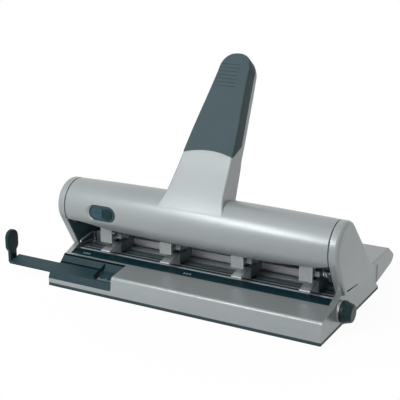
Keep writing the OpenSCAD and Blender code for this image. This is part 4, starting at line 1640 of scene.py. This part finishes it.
@dataclass
class Studio:
    """Camera, floor, world and lamps."""

    target: Vector = field(default_factory=lambda: Vector((-11.98, 0.0, 115.14)))
    azimuth: float = 28.708
    elevation: float = 16.507
    distance: float = 1092.4
    roll: float = 0.14
    focal_px: float = 964.69
    principal: Point2 = (203.38, 190.81)
    frame_px: float = 400.0
    sensor: float = 36.0
    fill: tuple[tuple[float, ...], float] = ((0.93, 0.96, 1.0, 1.0), 0.07)

    def camera(self) -> None:
        """Make the camera at the photograph's viewpoint."""
        a, e = math.radians(self.azimuth), math.radians(self.elevation)
        back = Vector((math.sin(a) * math.cos(e), -math.cos(a) * math.cos(e), math.sin(e)))
        right = Vector((math.cos(a), math.sin(a), 0.0))
        up = back.cross(right)
        r = math.radians(self.roll)
        right, up = right * math.cos(r) + up * math.sin(r), up * math.cos(r) - right * math.sin(r)
        data = bpy.data.cameras.new("viewpoint")
        data.sensor_width = self.sensor
        data.lens = self.focal_px / self.frame_px * self.sensor
        across, down = self.principal
        data.shift_x = -(across - self.frame_px / 2) / self.frame_px
        data.shift_y = (down - self.frame_px / 2) / self.frame_px
        data.clip_start = 0.01
        data.clip_end = 20.0
        camera = linked("viewpoint", data)
        posed(camera, (self.target + back * self.distance) * MM, right, up, back)
        bpy.context.scene.camera = camera

    def lamp(
        self, name: str, spot: Corner, aim: Corner, size: Point2, watts: float,
        along: Corner = (1.0, 0.0, 0.0), mirrored: bool = False,
    ) -> None:
        """Hang a soft lamp.

        Args:
            name: The lamp's name.
            spot: Where it hangs, in metres.
            aim: What it points at, in metres.
            size: Its width and height in metres.
            watts: Its power.
            along: The direction of its width.
            mirrored: Whether glossy surfaces show it.
        """
        data = bpy.data.lights.new(name, "AREA")
        data.shape = "RECTANGLE"
        data.size, data.size_y = size
        data.energy = watts
        lamp = linked(name, data)
        lamp.visible_glossy = mirrored
        back = (Vector(spot) - Vector(aim)).normalized()
        side = Vector(along)
        side = (side - back * side.dot(back)).normalized()
        posed(lamp, Vector(spot), side, back.cross(side), back)

    def world(self) -> None:
        """Make the white surroundings and their plain light."""
        world = bpy.data.worlds.new("studio")
        bpy.context.scene.world = world
        tree = cleared(world)
        path = add_node(tree, "ShaderNodeLightPath").outputs
        most = {"operation": "MAXIMUM"}
        rays = {0: path["Is Camera Ray"], 1: path["Is Transmission Ray"]}
        seen = add_node(tree, "ShaderNodeMath", most, rays).outputs[0]
        both = add_node(
            tree, "ShaderNodeMath", most, {0: seen, 1: path["Is Glossy Ray"]}
        ).outputs[0]
        lights = {0: both}
        for place, (colour, strength) in enumerate((self.fill, (WHITE, 1.0)), 1):
            values = {"Color": colour, "Strength": strength}
            lights[place] = add_node(tree, "ShaderNodeBackground", values).outputs[0]
        mix = add_node(tree, "ShaderNodeMixShader", None, lights).outputs[0]
        add_node(tree, "ShaderNodeOutputWorld", links={"Surface": mix})

    def floor(self) -> None:
        """Lay the pale floor that keeps the punch's shadow."""
        bm = bmesh.new()
        bmesh.ops.create_grid(bm, x_segments=2, y_segments=2, size=6.0)
        mesh = bpy.data.meshes.new("floor")
        bm.to_mesh(mesh)
        bm.free()
        linked("floor", mesh)
        paper = bpy.data.materials.new("white_background_paper")
        tree = cleared(paper)
        spot = add_node(tree, "ShaderNodeTexCoord").outputs["Object"]
        fibre = add_node(
            tree, "ShaderNodeTexNoise", {"Scale": 300.0, "Detail": 2.0}, {"Vector": spot}
        ).outputs["Fac"]
        tint = add_node(
            tree, "ShaderNodeMix",
            {"data_type": "RGBA", 6: linear("#F4F5F5"), 7: linear("#EEF0F0")}, {0: fibre},
        ).outputs[2]
        matt = add_node(tree, "ShaderNodeBsdfDiffuse", None, {"Color": tint}).outputs[0]
        glow = add_node(tree, "ShaderNodeEmission", {"Color": WHITE, "Strength": 1.0}).outputs[0]
        path = add_node(tree, "ShaderNodeLightPath").outputs
        rays = {0: path["Is Camera Ray"], 1: path["Is Glossy Ray"]}
        seen = add_node(tree, "ShaderNodeMath", {"operation": "MAXIMUM"}, rays).outputs[0]
        away = add_node(
            tree, "ShaderNodeVectorMath", {"operation": "LENGTH"}, {0: spot}
        ).outputs["Value"]
        part = add_node(
            tree, "ShaderNodeMapRange",
            {"From Min": 0.1, "From Max": 0.3, "To Min": 0.93, "To Max": 1.0}, {"Value": away},
        ).outputs["Result"]
        share = add_node(
            tree, "ShaderNodeMath", {"operation": "MULTIPLY"}, {0: seen, 1: part}
        ).outputs[0]
        mix = add_node(tree, "ShaderNodeMixShader", None, {0: share, 1: matt, 2: glow}).outputs[0]
        add_node(tree, "ShaderNodeOutputMaterial", links={"Surface": mix})
        mesh.materials.append(paper)

    def build(self) -> None:
        """Set the studio up."""
        bpy.context.scene.view_settings.view_transform = "Standard"
        self.camera()
        self.world()
        self.floor()
        # The strip alone draws the bright line along the hood.
        self.lamp(
            "strip_softbox", (-0.31, -0.80, 0.68), (0.0, -0.05, 0.1), (0.6, 0.05), 3.1,
            (0.56, -0.60, -0.57), True,
        )
        self.lamp("overhead_softbox", (-0.2, -0.5, 1.2), (0.0, 0.0, 0.05), (1.0, 0.8), 11.0)
        self.lamp("front_softbox", (-0.7, -1.1, 0.5), (0.0, 0.0, 0.08), (0.7, 0.7), 4.4)


# Middle of each punch unit along X, and the top of its cap under the hood's edge.
UNIT_PLACES = ((-115.8, 69.0), (-35.8, 62.8), (54.2, 62.8), (134.2, 67.0))


def main() -> None:
    """Build the punch and its studio."""
    logging.basicConfig(level=logging.INFO, format="%(message)s")
    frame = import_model()
    Studio().build()
    bench = Bench(frame)
    BaseCasting(bench).build()
    Cheeks(bench).build()
    RearCasing(bench).build()
    WorkSurface(bench).build()
    hood = Hood(bench)
    lock = SlideLock(bench)
    hood.build(lock)
    lock.build()
    Handle(bench, hood).build()
    for number, (x, cap_top) in enumerate(UNIT_PLACES, 1):
        PunchUnit(bench, number, x, cap_top).build()
    SideGuide(bench).build()
    ScaleKnob(bench).build()
    LOG.info("%d pieces made", bench.count)


if __name__ == "__main__":
    main()
